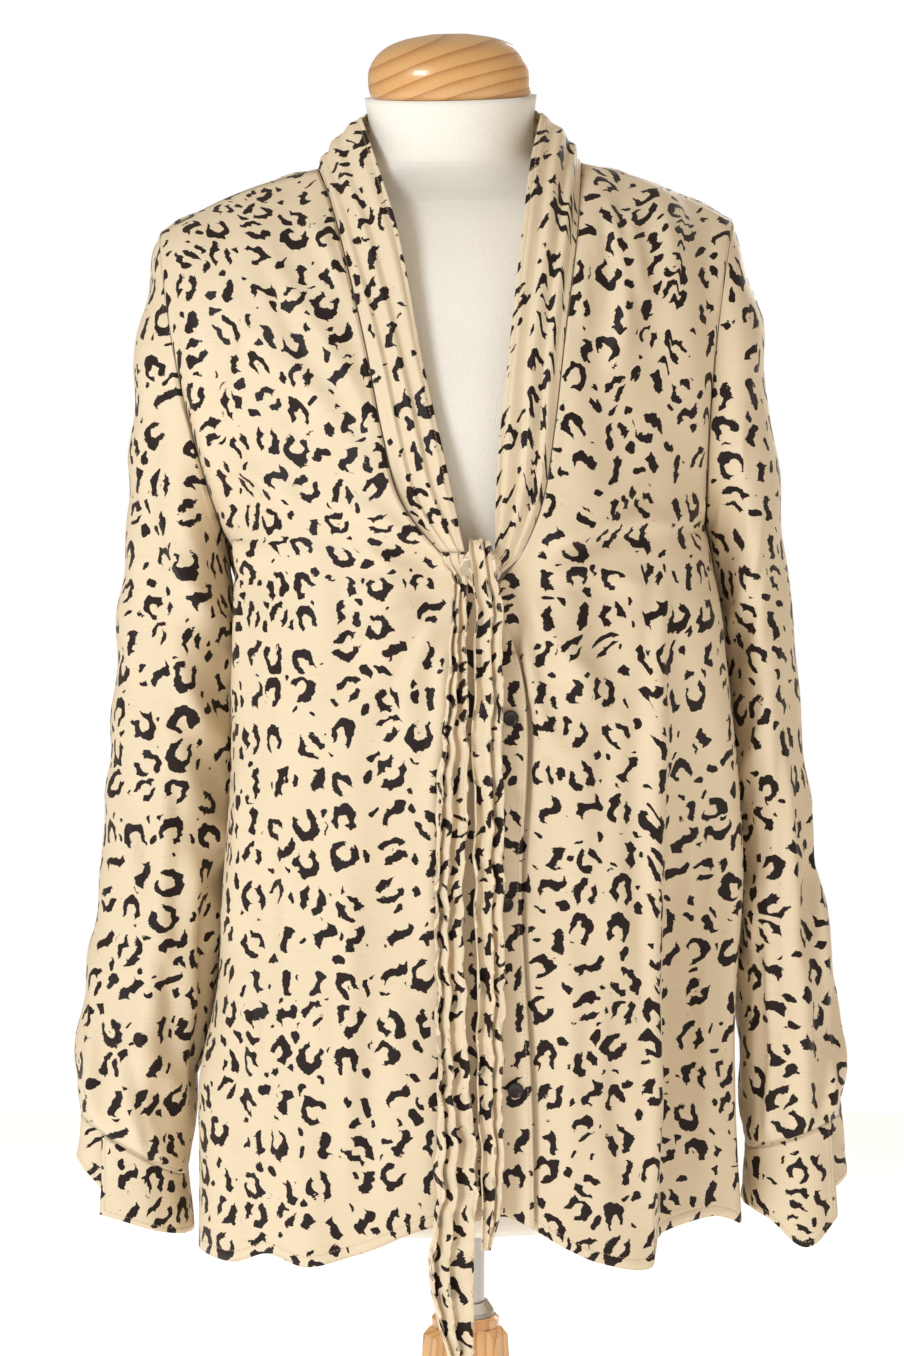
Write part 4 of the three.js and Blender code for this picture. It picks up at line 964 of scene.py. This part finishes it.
def ring_mark(n, x, y, size, openings):
    """An oval ring with a thick crown, a wide opening at its foot and, by openings, a narrow one above."""
    x = x / n.lerp(size, *RING["widths"])
    y = y / n.lerp(size, *RING["heights"])
    radius = (x * x + y * y).root()
    upward = y / radius.highest(0.5)
    sideward = x / radius.highest(0.5)
    ring = abs(radius - RING["radius"]) - (upward * n.lerp(openings, 0.75, 0.1) + RING["stroke"])
    foot = (upward * -1.0 - n.lerp(size, *RING["foot"])) * 8.0
    crown = (upward * 0.86 + sideward * 0.5 - 0.93) * 12.0 - (1.0 - openings) * 20.0
    return ring.highest(foot.highest(crown))


def bar_mark(n, x, y, length, sway):
    """A bar that is nearly straight or bent into a Z by its sway, thicker at its middle."""
    side = abs(x - (y * BAR["bend"]).sine() * sway) * n.lerp(sway / BAR["sways"][0], 1.0, 0.62)
    thick = BAR["thick"] - abs(y) * BAR["taper"]
    return (side - thick).highest(abs(y) - length)


def large_marks(n, where):
    """Distance to the nearest ring or bar."""
    cell = PRINT["cell"]
    middle, (pick, turn, size) = cells(n, where, cell, PRINT["jitter"])
    flip = size.above(PRINT["flipped_above"]) * 0.5
    x, y = turned_about(n, where, middle, turn * PRINT["turns"] + flip - PRINT["turns"] / 2)
    ring = ring_mark(n, x, y, size, pick.above(PRINT["opened_above"]))
    bar = bar_mark(n, x, y, n.lerp(turn, *BAR["lengths"]), n.lerp(size, *BAR["sways"]))
    mark = n.lerp(pick.above(PRINT["bars_above"]), ring, bar)
    border = voronoi(n, where, cell, PRINT["jitter"], "DISTANCE_TO_EDGE", "Distance") * cell
    return mark.smooth_highest(PRINT["border"] - border, PRINT["border_blend"])


def small_marks(n, where, large):
    """Distance to the nearest blot that keeps clear of the large marks."""
    middle, (lean, size, narrow) = cells(n, where, PRINT["small_cell"], PRINT["small_jitter"])
    x, y = turned_about(n, where, middle, (lean - 0.5) * BLOT["turns"])
    x = x * n.lerp(narrow, *BLOT["narrow"])
    blot = (x * x + y * y).root() - n.lerp(size, *BLOT["sizes"])
    return blot.smooth_highest(PRINT["room"] - large, PRINT["room_blend"])


def print_distance(n, place_mm):
    """Signed distance in millimetres to the nearest mark of the print, negative inside it."""
    wobble = n.noise(place_mm, 0.13, 1.0, "Color") - 0.5
    bent = place_mm + wobble * PRINT["wobble"]
    grain = n.noise(place_mm * (0.7, 0.95, 1.0), 0.9, 1.0)
    large = large_marks(n, bent)
    return large.lowest(small_marks(n, bent, large)) + (grain - 0.5) * PRINT["teeth"]


def cloth_material():
    """Printed satin with stitched hems and drawn seams, paler on its reverse side."""
    n = Nodes("printed_satin")
    place_mm = n.cloth_place()
    u, v, _ = n.parts(place_mm)
    ink = n.between(print_distance(n, place_mm), PRINT["ink_edge"], -PRINT["ink_edge"])

    # Fine twill lines of the satin face, and threads a little thicker here and there
    twill = ((u + v * 0.6) * (FULL_TURN / WEAVE["twill"])).sine()
    cross = (v * (FULL_TURN / WEAVE["cross"])).sine()
    weave = twill * 0.6 + cross * 0.4
    slub = n.noise(place_mm * (0.06, 1.2, 1.0), 1.0, 2.0)
    ground = n.blend(n.noise(place_mm, 0.012, 3.0), rgb(229, 209, 177), rgb(234, 217, 187))
    ground = n.blend(n.between(slub, 0.55, 0.8), ground, rgb(223, 201, 167))
    face = n.blend(ink, ground, n.blend(slub, rgb(24, 13, 12), rgb(40, 25, 22)))
    reverse = n.blend(ink * 0.45, rgb(241, 222, 190), rgb(80, 62, 56))
    colour = n.blend(n.attribute("inside"), face, reverse)

    # Stitches inside each hemmed edge, and the groove of each seam
    hem = n.attribute("hem")
    off_line = abs(hem - STITCH["inset"])
    dash = ((u + v) * (FULL_TURN / STITCH["length"])).sine()
    stitch = n.between(off_line, 0.45, 0.2) * n.between(dash, -0.45, -0.2)
    groove = n.between(off_line, 1.4, 0.0)
    seam_pull = n.between(n.attribute("seam"), 2.2, 0.2)
    pucker = n.between(hem, 13.0, 6.0) * n.noise(place_mm * (0.16, 0.16, 1.0), 1.0, 1.0)
    soft = n.noise(place_mm, 0.05, 2.0)
    height = weave * 0.012 + soft * 0.7 - groove * 0.25 - seam_pull * 0.5 + pucker * 0.5 + stitch * 0.12
    return n.finished({
        "Base Color": n.blend(stitch * 0.55, colour, rgb(196, 170, 132)),
        "Normal": n.bump(height, 1.0, 0.001),
        "Roughness": n.lerp(ink, 0.46, 0.52),
        "Specular IOR Level": 0.25,
        "Sheen Weight": 0.08,
        "Sheen Roughness": 0.45,
        "Sheen Tint": (1.0, 0.95, 0.86, 1.0),
    })


def jersey_material():
    """Cream stretch jersey: fine knit wales that run up the form."""
    n = Nodes("cream_jersey")
    place_mm = n.cloth_place()
    u, v, _ = n.parts(place_mm)
    wale = (u * (FULL_TURN / WEAVE["wale"])).sine()
    loops = (v * (FULL_TURN / WEAVE["loop"]) + wale * 1.2).sine()
    knit = wale * 0.6 + loops * 0.25
    fuzz = n.noise(place_mm, 0.5, 3.0)
    tone = n.between(knit * 0.25 + fuzz, 0.1, 0.9)
    return n.finished({
        "Base Color": n.blend(tone, rgb(246, 240, 227), rgb(253, 249, 240)),
        "Normal": n.bump(knit * 0.1 + fuzz * 0.12, 0.8, 0.001),
        "Roughness": 0.9,
        "Sheen Weight": 0.25,
    })


def across_cap(n, where):
    """Distance from a point under the cap's right and back part, round which its growth rings lie."""
    return ((where - CAP_RINGS_MIDDLE) * (1.0, 0.8, 1.4)).length()


def across_leg(n, where):
    """Distance from the sweep of the legs and to their sides, so that the grain runs along each of them."""
    x, y, z = n.parts(where - LEG_SWEEP["middle"])
    radius = (x * x + y * y).root()
    down = (1.0 - z / LEG_SWEEP["height"]).highest(0.0)
    aside = (y.angle_from(x) * 3.0).cosine() * (radius * LEG_SWEEP["aside"])
    return radius - down ** LEG_SWEEP["power"] * LEG_SWEEP["spread"] + aside


def wood_material(name, across, rings_per_metre, sway):
    """Honey-coloured varnished pine; across gives the way across its growth rings in metres."""
    n = Nodes(name)
    where = n.object_place()
    distance = across(n, where) + n.noise(where, 6.0, 3.0) * sway
    late = (distance * rings_per_metre).fraction() ** 3.0
    fibre = n.noise(where * (900, 900, 60), 1.0, 3.0)
    tone = n.between(late * 0.75 + fibre * 0.3, 0.0, 1.0)
    return n.finished({
        "Base Color": n.blend(tone, rgb(226, 176, 112), rgb(186, 122, 62)),
        "Normal": n.bump(fibre + late, 0.25, 0.0004),
        "Roughness": n.lerp(fibre, 0.26, 0.4),
        "Coat Weight": 0.6,
        "Coat Roughness": 0.12,
    })


def steel_material():
    """Brushed nickel-plated steel."""
    n = Nodes("plated_steel")
    brushed = n.noise(n.object_place() * (60, 60, 2500), 1.0, 2.0)
    return n.finished({
        "Base Color": n.blend(brushed, rgb(176, 172, 166), rgb(205, 202, 196)),
        "Normal": n.bump(brushed, 0.15, 0.0002),
        "Roughness": n.lerp(brushed, 0.22, 0.36),
        "Metallic": 1.0,
    })


def button_material():
    """Dark horn-like resin with faint swirls."""
    n = Nodes("dark_resin")
    swirl = n.noise(n.object_place(), 320.0, 3.0)
    return n.finished({
        "Base Color": n.blend(swirl, rgb(20, 14, 12), rgb(46, 33, 27)),
        "Roughness": n.lerp(swirl, 0.34, 0.46),
        "Coat Weight": 0.12,
    })


def floor_material():
    """White acrylic, lit a little from below."""
    material = Nodes("studio_acrylic").finished({
        "Base Color": rgb(246, 246, 246),
        "Roughness": 0.8,
        "Emission Color": WHITE,
        "Emission Strength": FLOOR_GLOW,
    })
    material.cycles.emission_sampling = "NONE"
    return material


# Pieces of the blouse
def body_grid(shares):
    """Levels and shares of a front or the back, row by row from the hem up."""
    low = np.linspace(0, 1, ROWS_LOW + 1)
    levels = np.concatenate([low, 1 + np.linspace(0, 1, ROWS_HIGH + 1)[1:]])
    return np.meshgrid(levels, shares, indexing="ij")


def make_front(side, material):
    level, share = body_grid(np.linspace(0, 1, FRONT_COLUMNS * COLUMN_STEPS + 1))
    grid = softened(front_points(side, share, level))
    down, up, inner, outer = edge_distances(grid)
    calm = smooth(inner / 12) * smooth(outer / 16) * smooth(up / 14)
    x, z = grid[..., 0], grid[..., 2]
    height = crease_height(FRONT_CREASES[side], x, z) + ripples(x, z, 3 + side, *RIPPLES["front"])
    grid = displaced(grid, height * calm, side)
    seam = np.minimum(up, outer)
    seam = np.where(level > 1, np.minimum(seam, inner), seam)
    uv = flat_uv(grid, grid[:, :1, 0], grid[:1, :, 2], side)
    item = shell(f"{WORD[side]}_front", grid, side, uv, hem=down, seam=seam)
    finish_piece(item, material, f"front_{WORD[side]}")
    return grid


def make_back(material):
    level, share = body_grid(np.linspace(-1, 1, BACK_COLUMNS + 1))
    grid = softened(back_points(share, level))
    down, up, left, right = edge_distances(grid)
    calm = smooth(np.minimum(left, right) / 16) * smooth(up / 14)
    x, z = grid[..., 0], grid[..., 2]
    height = crease_height(BACK_CREASES, x, z) + ripples(x, z, 7, *RIPPLES["back"])
    grid = displaced(grid, height * calm, LEFT)
    uv = flat_uv(grid, ROLL_START["back"], grid[:1, :, 2])
    item = shell("back_panel", grid, LEFT, uv, hem=down, seam=np.minimum(np.minimum(left, right), up))
    finish_piece(item, material, "back")


def make_placket(grid, material):
    top = int(np.argmax(grid[:, 0, 2] > PLACKET_TOP))
    strip = displaced(grid, np.full(grid.shape[:2], PLACKET_LIFT), LEFT)[:top, : 2 * COLUMN_STEPS + 1]
    _, _, inner, outer = edge_distances(strip)
    uv = flat_uv(strip, strip[:, :1, 0], strip[:1, :, 2], LEFT)
    hem = np.minimum(inner, outer) + STITCH["strip_shift"]
    item = shell("placket_strip", strip, LEFT, uv, thickness=BAND_CLOTH, hem=hem)
    finish_piece(item, material, "placket")


def make_sleeve(side, material):
    share = mix(SLEEVE_START, 1, np.linspace(0, 1, SLEEVE_ROWS + 1) ** 1.1)
    angle = np.arange(SLEEVE_COLUMNS) * 360 / SLEEVE_COLUMNS + 180
    share, angle = np.meshgrid(share, angle % 360, indexing="ij")
    grid = sleeve_points(side, share, angle)
    uv = sleeve_uv(side, grid, ROLL_START["sleeve"] + side * SLEEVE_APART, ROLL_FOOT)
    down, up, around, _ = edge_distances(grid)
    calm = smooth(down / 16) * smooth(up / 12)
    height = crease_height(SLEEVE_CREASES[side], angle, down, 0.9, 360)
    height += ripples(down * 0.5 + around * 0.3, down, 11 + side, *RIPPLES["sleeve"])
    grid = displaced(grid, height * calm, side, True)
    item = shell(f"{WORD[side]}_sleeve", grid, side, uv, closed=True, seam=np.minimum(down, up))
    finish_piece(item, material, f"sleeve_{WORD[side]}")


def make_cuff(side, material):
    cuff = CUFF[side]
    angle = cuff["start"] + cuff["turn"] * np.linspace(0, 1, CUFF_COLUMNS + 1)
    down, angle = np.meshgrid(np.linspace(0, 1, CUFF_ROWS + 1), angle, indexing="ij")
    tuck = -CUFF_OVERLAP * smooth((angle - cuff["start"] - 330) / 30)
    grid = sleeve_points(side, 1.0 + 0 * down, angle % 360, tuck + CUFF_FLARE * down)
    grid[..., 2] -= 2 * SEAM + read(cuff["drops"], "at", "drop", angle) * down
    top, low, first, last = edge_distances(grid)
    grid = displaced(grid, ripples(first, top, 17 + side, *RIPPLES["cuff"]) * smooth(top / 8), side)
    uv = flat_uv(grid, ROLL_START["cuff"] + side * CUFF_APART, ROLL_FOOT, upward=True)
    hem = np.minimum(np.minimum(first, last), low) + STITCH["cuff_shift"]
    item = shell(f"{WORD[side]}_cuff", grid, side, uv, thickness=BAND_CLOTH, hem=hem, seam=top)
    finish_piece(item, material, f"cuff_{WORD[side]}")


def collar_rows(side, t, s):
    """Rows of half the collar: t runs from the knot to behind the neck, s from seam to free edge."""
    seam, free = collar_edges(side, t)
    across = free - seam
    seam = seam + across / np.linalg.norm(across, axis=-1, keepdims=True)
    outward = points(seam[:, 0] - NECK_CENTRE_X, seam[:, 1] * 1.2, 0 * t)
    outward /= np.linalg.norm(outward, axis=-1, keepdims=True)
    stand = smooth(t - 0.55)[:, None]
    swell = mix(2.5, 6, stand) * np.sin(np.pi * s) * smooth(t * 4 + 0.3)[:, None]
    fold_at = s * COLLAR_FOLDS + 0.25 * np.sin(3.1 * t[:, None] + side) + 0.1 * np.sin(9 * t[:, None])
    saw = fold_at % 1
    lap = smooth(saw / 0.84) * smooth((1 - saw) / 0.16)
    rim = smooth(s * 9) * smooth((1 - s) * 7)
    fold = mix(3.4, 2.2, stand) * (lap - 0.4) * rim * smooth(t * 5 + 0.35)[:, None]
    rows = mix(seam[:, None], free[:, None], s[None, :, None])
    return rows + outward[:, None] * (swell + fold)[..., None]


def make_collar(material):
    """A long band from the knot round the neck to the knot, whose right end tucks in behind the knot."""
    neck = 1 + np.linspace(0, 1, COLLAR_STEPS["neck"] + 1)[1:]
    t = np.concatenate([np.linspace(0, 1, COLLAR_STEPS["front"] + 1), neck])
    s = np.linspace(0, 1, COLLAR_STEPS["across"] + 1)
    left, right = collar_rows(LEFT, t, s), collar_rows(RIGHT, t, s)
    tuck = np.linspace(0, 1, COLLAR_STEPS["tuck"] + 1)[:-1, None, None]
    end_x = TUCKED_END["x"] - TUCKED_END["spread"] * s
    end = points(end_x, TUCKED_END["y"], TUCKED_END["z"] + TUCKED_END["slope"] * s)
    lead = mix(end[None], right[:1], smooth(tuck))
    lead[..., 2] = mix(end[None, :, 2], right[:1, :, 2], tuck[..., 0])
    grid = np.concatenate([left, right[:-1][::-1], lead[::-1]])
    _, _, seam_edge, free_edge = edge_distances(grid)
    uv = flat_uv(grid, ROLL_START["collar"], ROLL_FOOT)
    hem = free_edge + STITCH["collar_shift"]
    item = shell("scarf_collar", grid, 1, uv, thickness=BAND_CLOTH, hem=hem, seam=seam_edge)
    finish_piece(item, material, "collar")


def pleated(rows, z, s, pleats, seed):
    """Points of a hanging end whose hooked lengthwise pleats wander, bend and crumple a little."""
    left, right, fold = (read(rows, "z", column, z) for column in ("left", "right", "fold"))
    wander = 0.8 * np.sin(z / 41 + seed) + 0.4 * np.sin(z / 17 + 2 * seed)
    phase = FULL_TURN * pleats * (s + 0.05 * np.sin(FULL_TURN * s + seed)) + wander
    hook = PLEAT_HOOK * (right - left) / (FULL_TURN * pleats)
    x = mix(left + hook, right - hook, s) + hook * np.cos(phase)
    y = read(rows, "z", "y", z) - fold * np.sin(np.pi / 2 * np.cos(phase))
    strength = np.minimum(fold, 3) / 2
    kinks = ripples(s * 24 + z * 0.4, z, 23 + seed, *RIPPLES["tie"])
    kinks = kinks + ripples(z, s * 24, 31 + seed, *RIPPLES["tie_kinks"])
    bends = ripples(z, s * 8, 41 + seed, *RIPPLES["tie_bends"])
    return points(x + bends * strength, y + kinks * strength, z)


def tie_places(rows, steps):
    """Heights down a tie end, and shares across it."""
    heights = np.linspace(rows["z"][0], rows["z"][-1], steps + 1)
    return np.meshgrid(heights, np.linspace(0, 1, TIE_COLUMNS + 1), indexing="ij")


def make_tie(kind, grid, material):
    _, _, first, last = edge_distances(grid)
    uv = flat_uv(grid, ROLL_START[kind], ROLL_FOOT)
    item = shell(f"{kind}_tie_end", grid, -1, uv, hem=np.minimum(first, last) + STITCH["tie_shift"])
    finish_piece(item, material, f"tie_{kind}")


def make_ties(material):
    """The longer end goes on from the collar's left half, and the shorter one rolls over the knot's top."""
    z, across = tie_places(TIE_LONG, TIE_ROWS["long"])
    head = collar_rows(LEFT, np.array([0.0]), across[0]) + (0, -0.2, -SEAM)
    join = smooth((z[:1] - z) / 16)[..., None]
    long_end = mix(head + points(0, 0, z - z[:1]), pleated(TIE_LONG, z, across, 2.4, 5), join)
    make_tie("long", long_end, material)

    short_end = pleated(TIE_SHORT, *tie_places(TIE_SHORT, TIE_ROWS["short"]), 2.2, 2)
    turn = np.linspace(0, 1, TIE_ROWS["roll"] + 1)[:-1, None] * np.pi
    top = short_end[:1]
    middle = top[..., 0].mean()
    over = points(
        middle + (top[..., 0] - middle) * mix(0.8, 1.0, turn / np.pi),
        mix(ROLL["back_y"], top[..., 1], (1 - np.cos(turn)) / 2),
        top[..., 2] + ROLL["rise"] * np.sin(turn) ** 0.8,
    )
    make_tie("short", np.concatenate([over, short_end]), material)


def make_knot(material):
    """The gathered band behind the rolled end, which shows at its sides."""
    t = np.linspace(0, 1, KNOT_ROWS + 1)
    t, angle = np.meshgrid(t, circle_angles(KNOT_COLUMNS), indexing="ij")
    body = np.sin(np.pi * mix(0.1, 0.93, t)) ** 0.6
    crease = 0.12 * np.cos(6 * angle + 3 * t) * body + 0.06 * np.cos(13 * angle - 5 * t)
    x = KNOT["x"] + (KNOT["half_width"] * body + 0.6) * (1 - crease) * np.cos(angle)
    y = KNOT["y"] + (KNOT["half_depth"] * body + 0.4) * (1 - crease) * np.sin(angle)
    grid = points(x, y, mix(KNOT["top"], KNOT["bottom"], t))
    uv = flat_uv(grid, ROLL_START["knot"], ROLL_FOOT, closed=True)
    item = shell("knot_wrap", grid, 1, uv, closed=True)
    finish_piece(item, material, "knot")


def make_button(number, height, grid, material):
    """A button with a raised rim."""
    face = np.interp(height, grid[:, 0, 2], grid[:, COLUMN_STEPS, 1])
    middle_x = read(EDGE[LEFT], "z", "x", height) - BUTTON_FROM_EDGE
    middle_y = face - PLACKET_LIFT - 2 * SEAM
    angle = circle_angles(BUTTON_COLUMNS)
    radius = BUTTON_RADIUS * BUTTON_PROFILE["radius"][:, None]
    lift = BUTTON_THICKNESS * BUTTON_PROFILE["lift"][:, None]
    rings = points(middle_x + radius * np.cos(angle), middle_y - lift, height + radius * np.sin(angle))
    item = lofted(f"shirt_button_{number}", rings)
    finish_piece(item, material, f"button_{number}")


# Dress form and stand
def make_form(material):
    z = np.concatenate([[700, 700.5, 701.5, 703.5, 706], np.linspace(711, 1434, 146)])
    z, angle = np.meshgrid(z, circle_angles(FORM_COLUMNS), indexing="ij")
    at = {column: read(TORSO, "z", column, z) for column in TORSO if column != "z"}
    side, front = np.cos(angle), np.sin(angle)
    power = 2 / mix(2.25, 2, np.clip(at["tilt"], 0, 1))
    y = np.where(front < 0, at["front"], at["back"]) * np.sign(front) * np.abs(front) ** power
    x = at["x"] + at["width"] * np.sign(side) * np.abs(side) ** power
    lift = math.tan(NECK_TILT) * at["tilt"] * y
    item = lofted("torso_cover", points(x, at["y"] + y, z + lift))
    finish_piece(item, material, "torso")


def make_cap(material):
    height = np.concatenate([np.linspace(0, 30, 25), np.linspace(31, 39.5, 16)])
    height, angle = np.meshgrid(height, circle_angles(FORM_COLUMNS), indexing="ij")
    radius = CAP_RADIUS * read(CAP, "height", "share", height)
    y = radius * CAP_DEPTH_SHARE * np.sin(angle)
    rings = points(
        radius * np.cos(angle) + NECK_CENTRE_X,
        y * math.cos(NECK_TILT) - height * math.sin(NECK_TILT) + CAP_Y,
        y * math.sin(NECK_TILT) + height * math.cos(NECK_TILT) + CAP_LIFT,
    )
    item = lofted("wooden_cap", rings)
    finish_piece(item, material, "neck_cap")


def make_stage(material):
    """A round, softly glowing studio floor."""
    angle = circle_angles(FORM_COLUMNS)
    circle = points(np.cos(angle), np.sin(angle), 0 * angle)
    floor = add_object("studio_floor", circle * FLOOR_RADIUS, [list(range(len(angle)))])
    floor.data.materials.append(material)


# Studio
def add_light(name, at, aim_z, size, power, colour):
    data = bpy.data.lights.new(name, "AREA")
    data.shape = "RECTANGLE"
    data.size, data.size_y = size
    data.energy = power
    data.color = colour
    item = bpy.data.objects.new(name, data)
    item.location = at
    item.rotation_euler = (Vector((0, 0, aim_z)) - Vector(at)).to_track_quat("-Z", "Y").to_euler()
    bpy.context.scene.collection.objects.link(item)


def add_camera():
    data = bpy.data.cameras.new("camera")
    data.sensor_fit = "AUTO"
    data.sensor_width = CAMERA["sensor"]
    data.lens = CAMERA["focal_px"] / CAMERA["frame_px"] * CAMERA["sensor"]
    data.clip_end = 50
    item = bpy.data.objects.new("camera", data)
    item.location = CAMERA["at"]
    item.rotation_euler = (math.radians(CAMERA["tilt"]), 0, 0)
    bpy.context.scene.collection.objects.link(item)
    bpy.context.scene.camera = item


def add_world():
    """A white background, which lights the piece with a dimmer and warmer light."""
    world = bpy.data.worlds.new("studio")
    world.use_nodes = True
    nodes, links = world.node_tree.nodes, world.node_tree.links
    soft = nodes["Background"]
    soft.inputs["Color"].default_value = WARM
    soft.inputs["Strength"].default_value = WORLD_LIGHT
    white = nodes.new("ShaderNodeBackground")
    white.inputs["Color"].default_value = WHITE
    choice = nodes.new("ShaderNodeMixShader")
    links.new(nodes.new("ShaderNodeLightPath").outputs["Is Camera Ray"], choice.inputs["Fac"])
    links.new(soft.outputs["Background"], choice.inputs[1])
    links.new(white.outputs["Background"], choice.inputs[2])
    links.new(choice.outputs["Shader"], nodes["World Output"].inputs["Surface"])
    bpy.context.scene.world = world


add_camera()
add_world()
bpy.context.scene.view_settings.view_transform = "Standard"
for name, light in LIGHTS.items():
    add_light(name, *light)
make_stage(floor_material())

satin = cloth_material()
left_grid = make_front(LEFT, satin)
make_front(RIGHT, satin)
make_back(satin)
make_placket(left_grid, satin)
for side in (LEFT, RIGHT):
    make_sleeve(side, satin)
    make_cuff(side, satin)
make_collar(satin)
make_knot(satin)
make_ties(satin)
resin = button_material()
for number, height in enumerate(BUTTON_HEIGHTS, 1):
    make_button(number, height, left_grid, resin)
make_form(jersey_material())
make_cap(wood_material("pine_cap", across_cap, 120.0, 0.012))

steel = steel_material()
pine = wood_material("pine_stand", across_leg, 190.0, 0.004)
stand = {"pole": steel, "pole_collar": steel, "hub": pine, "leg_1": pine, "leg_2": pine, "leg_3": pine}
for node, material in stand.items():
    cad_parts[node].data.materials.clear()
    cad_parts[node].data.materials.append(material)
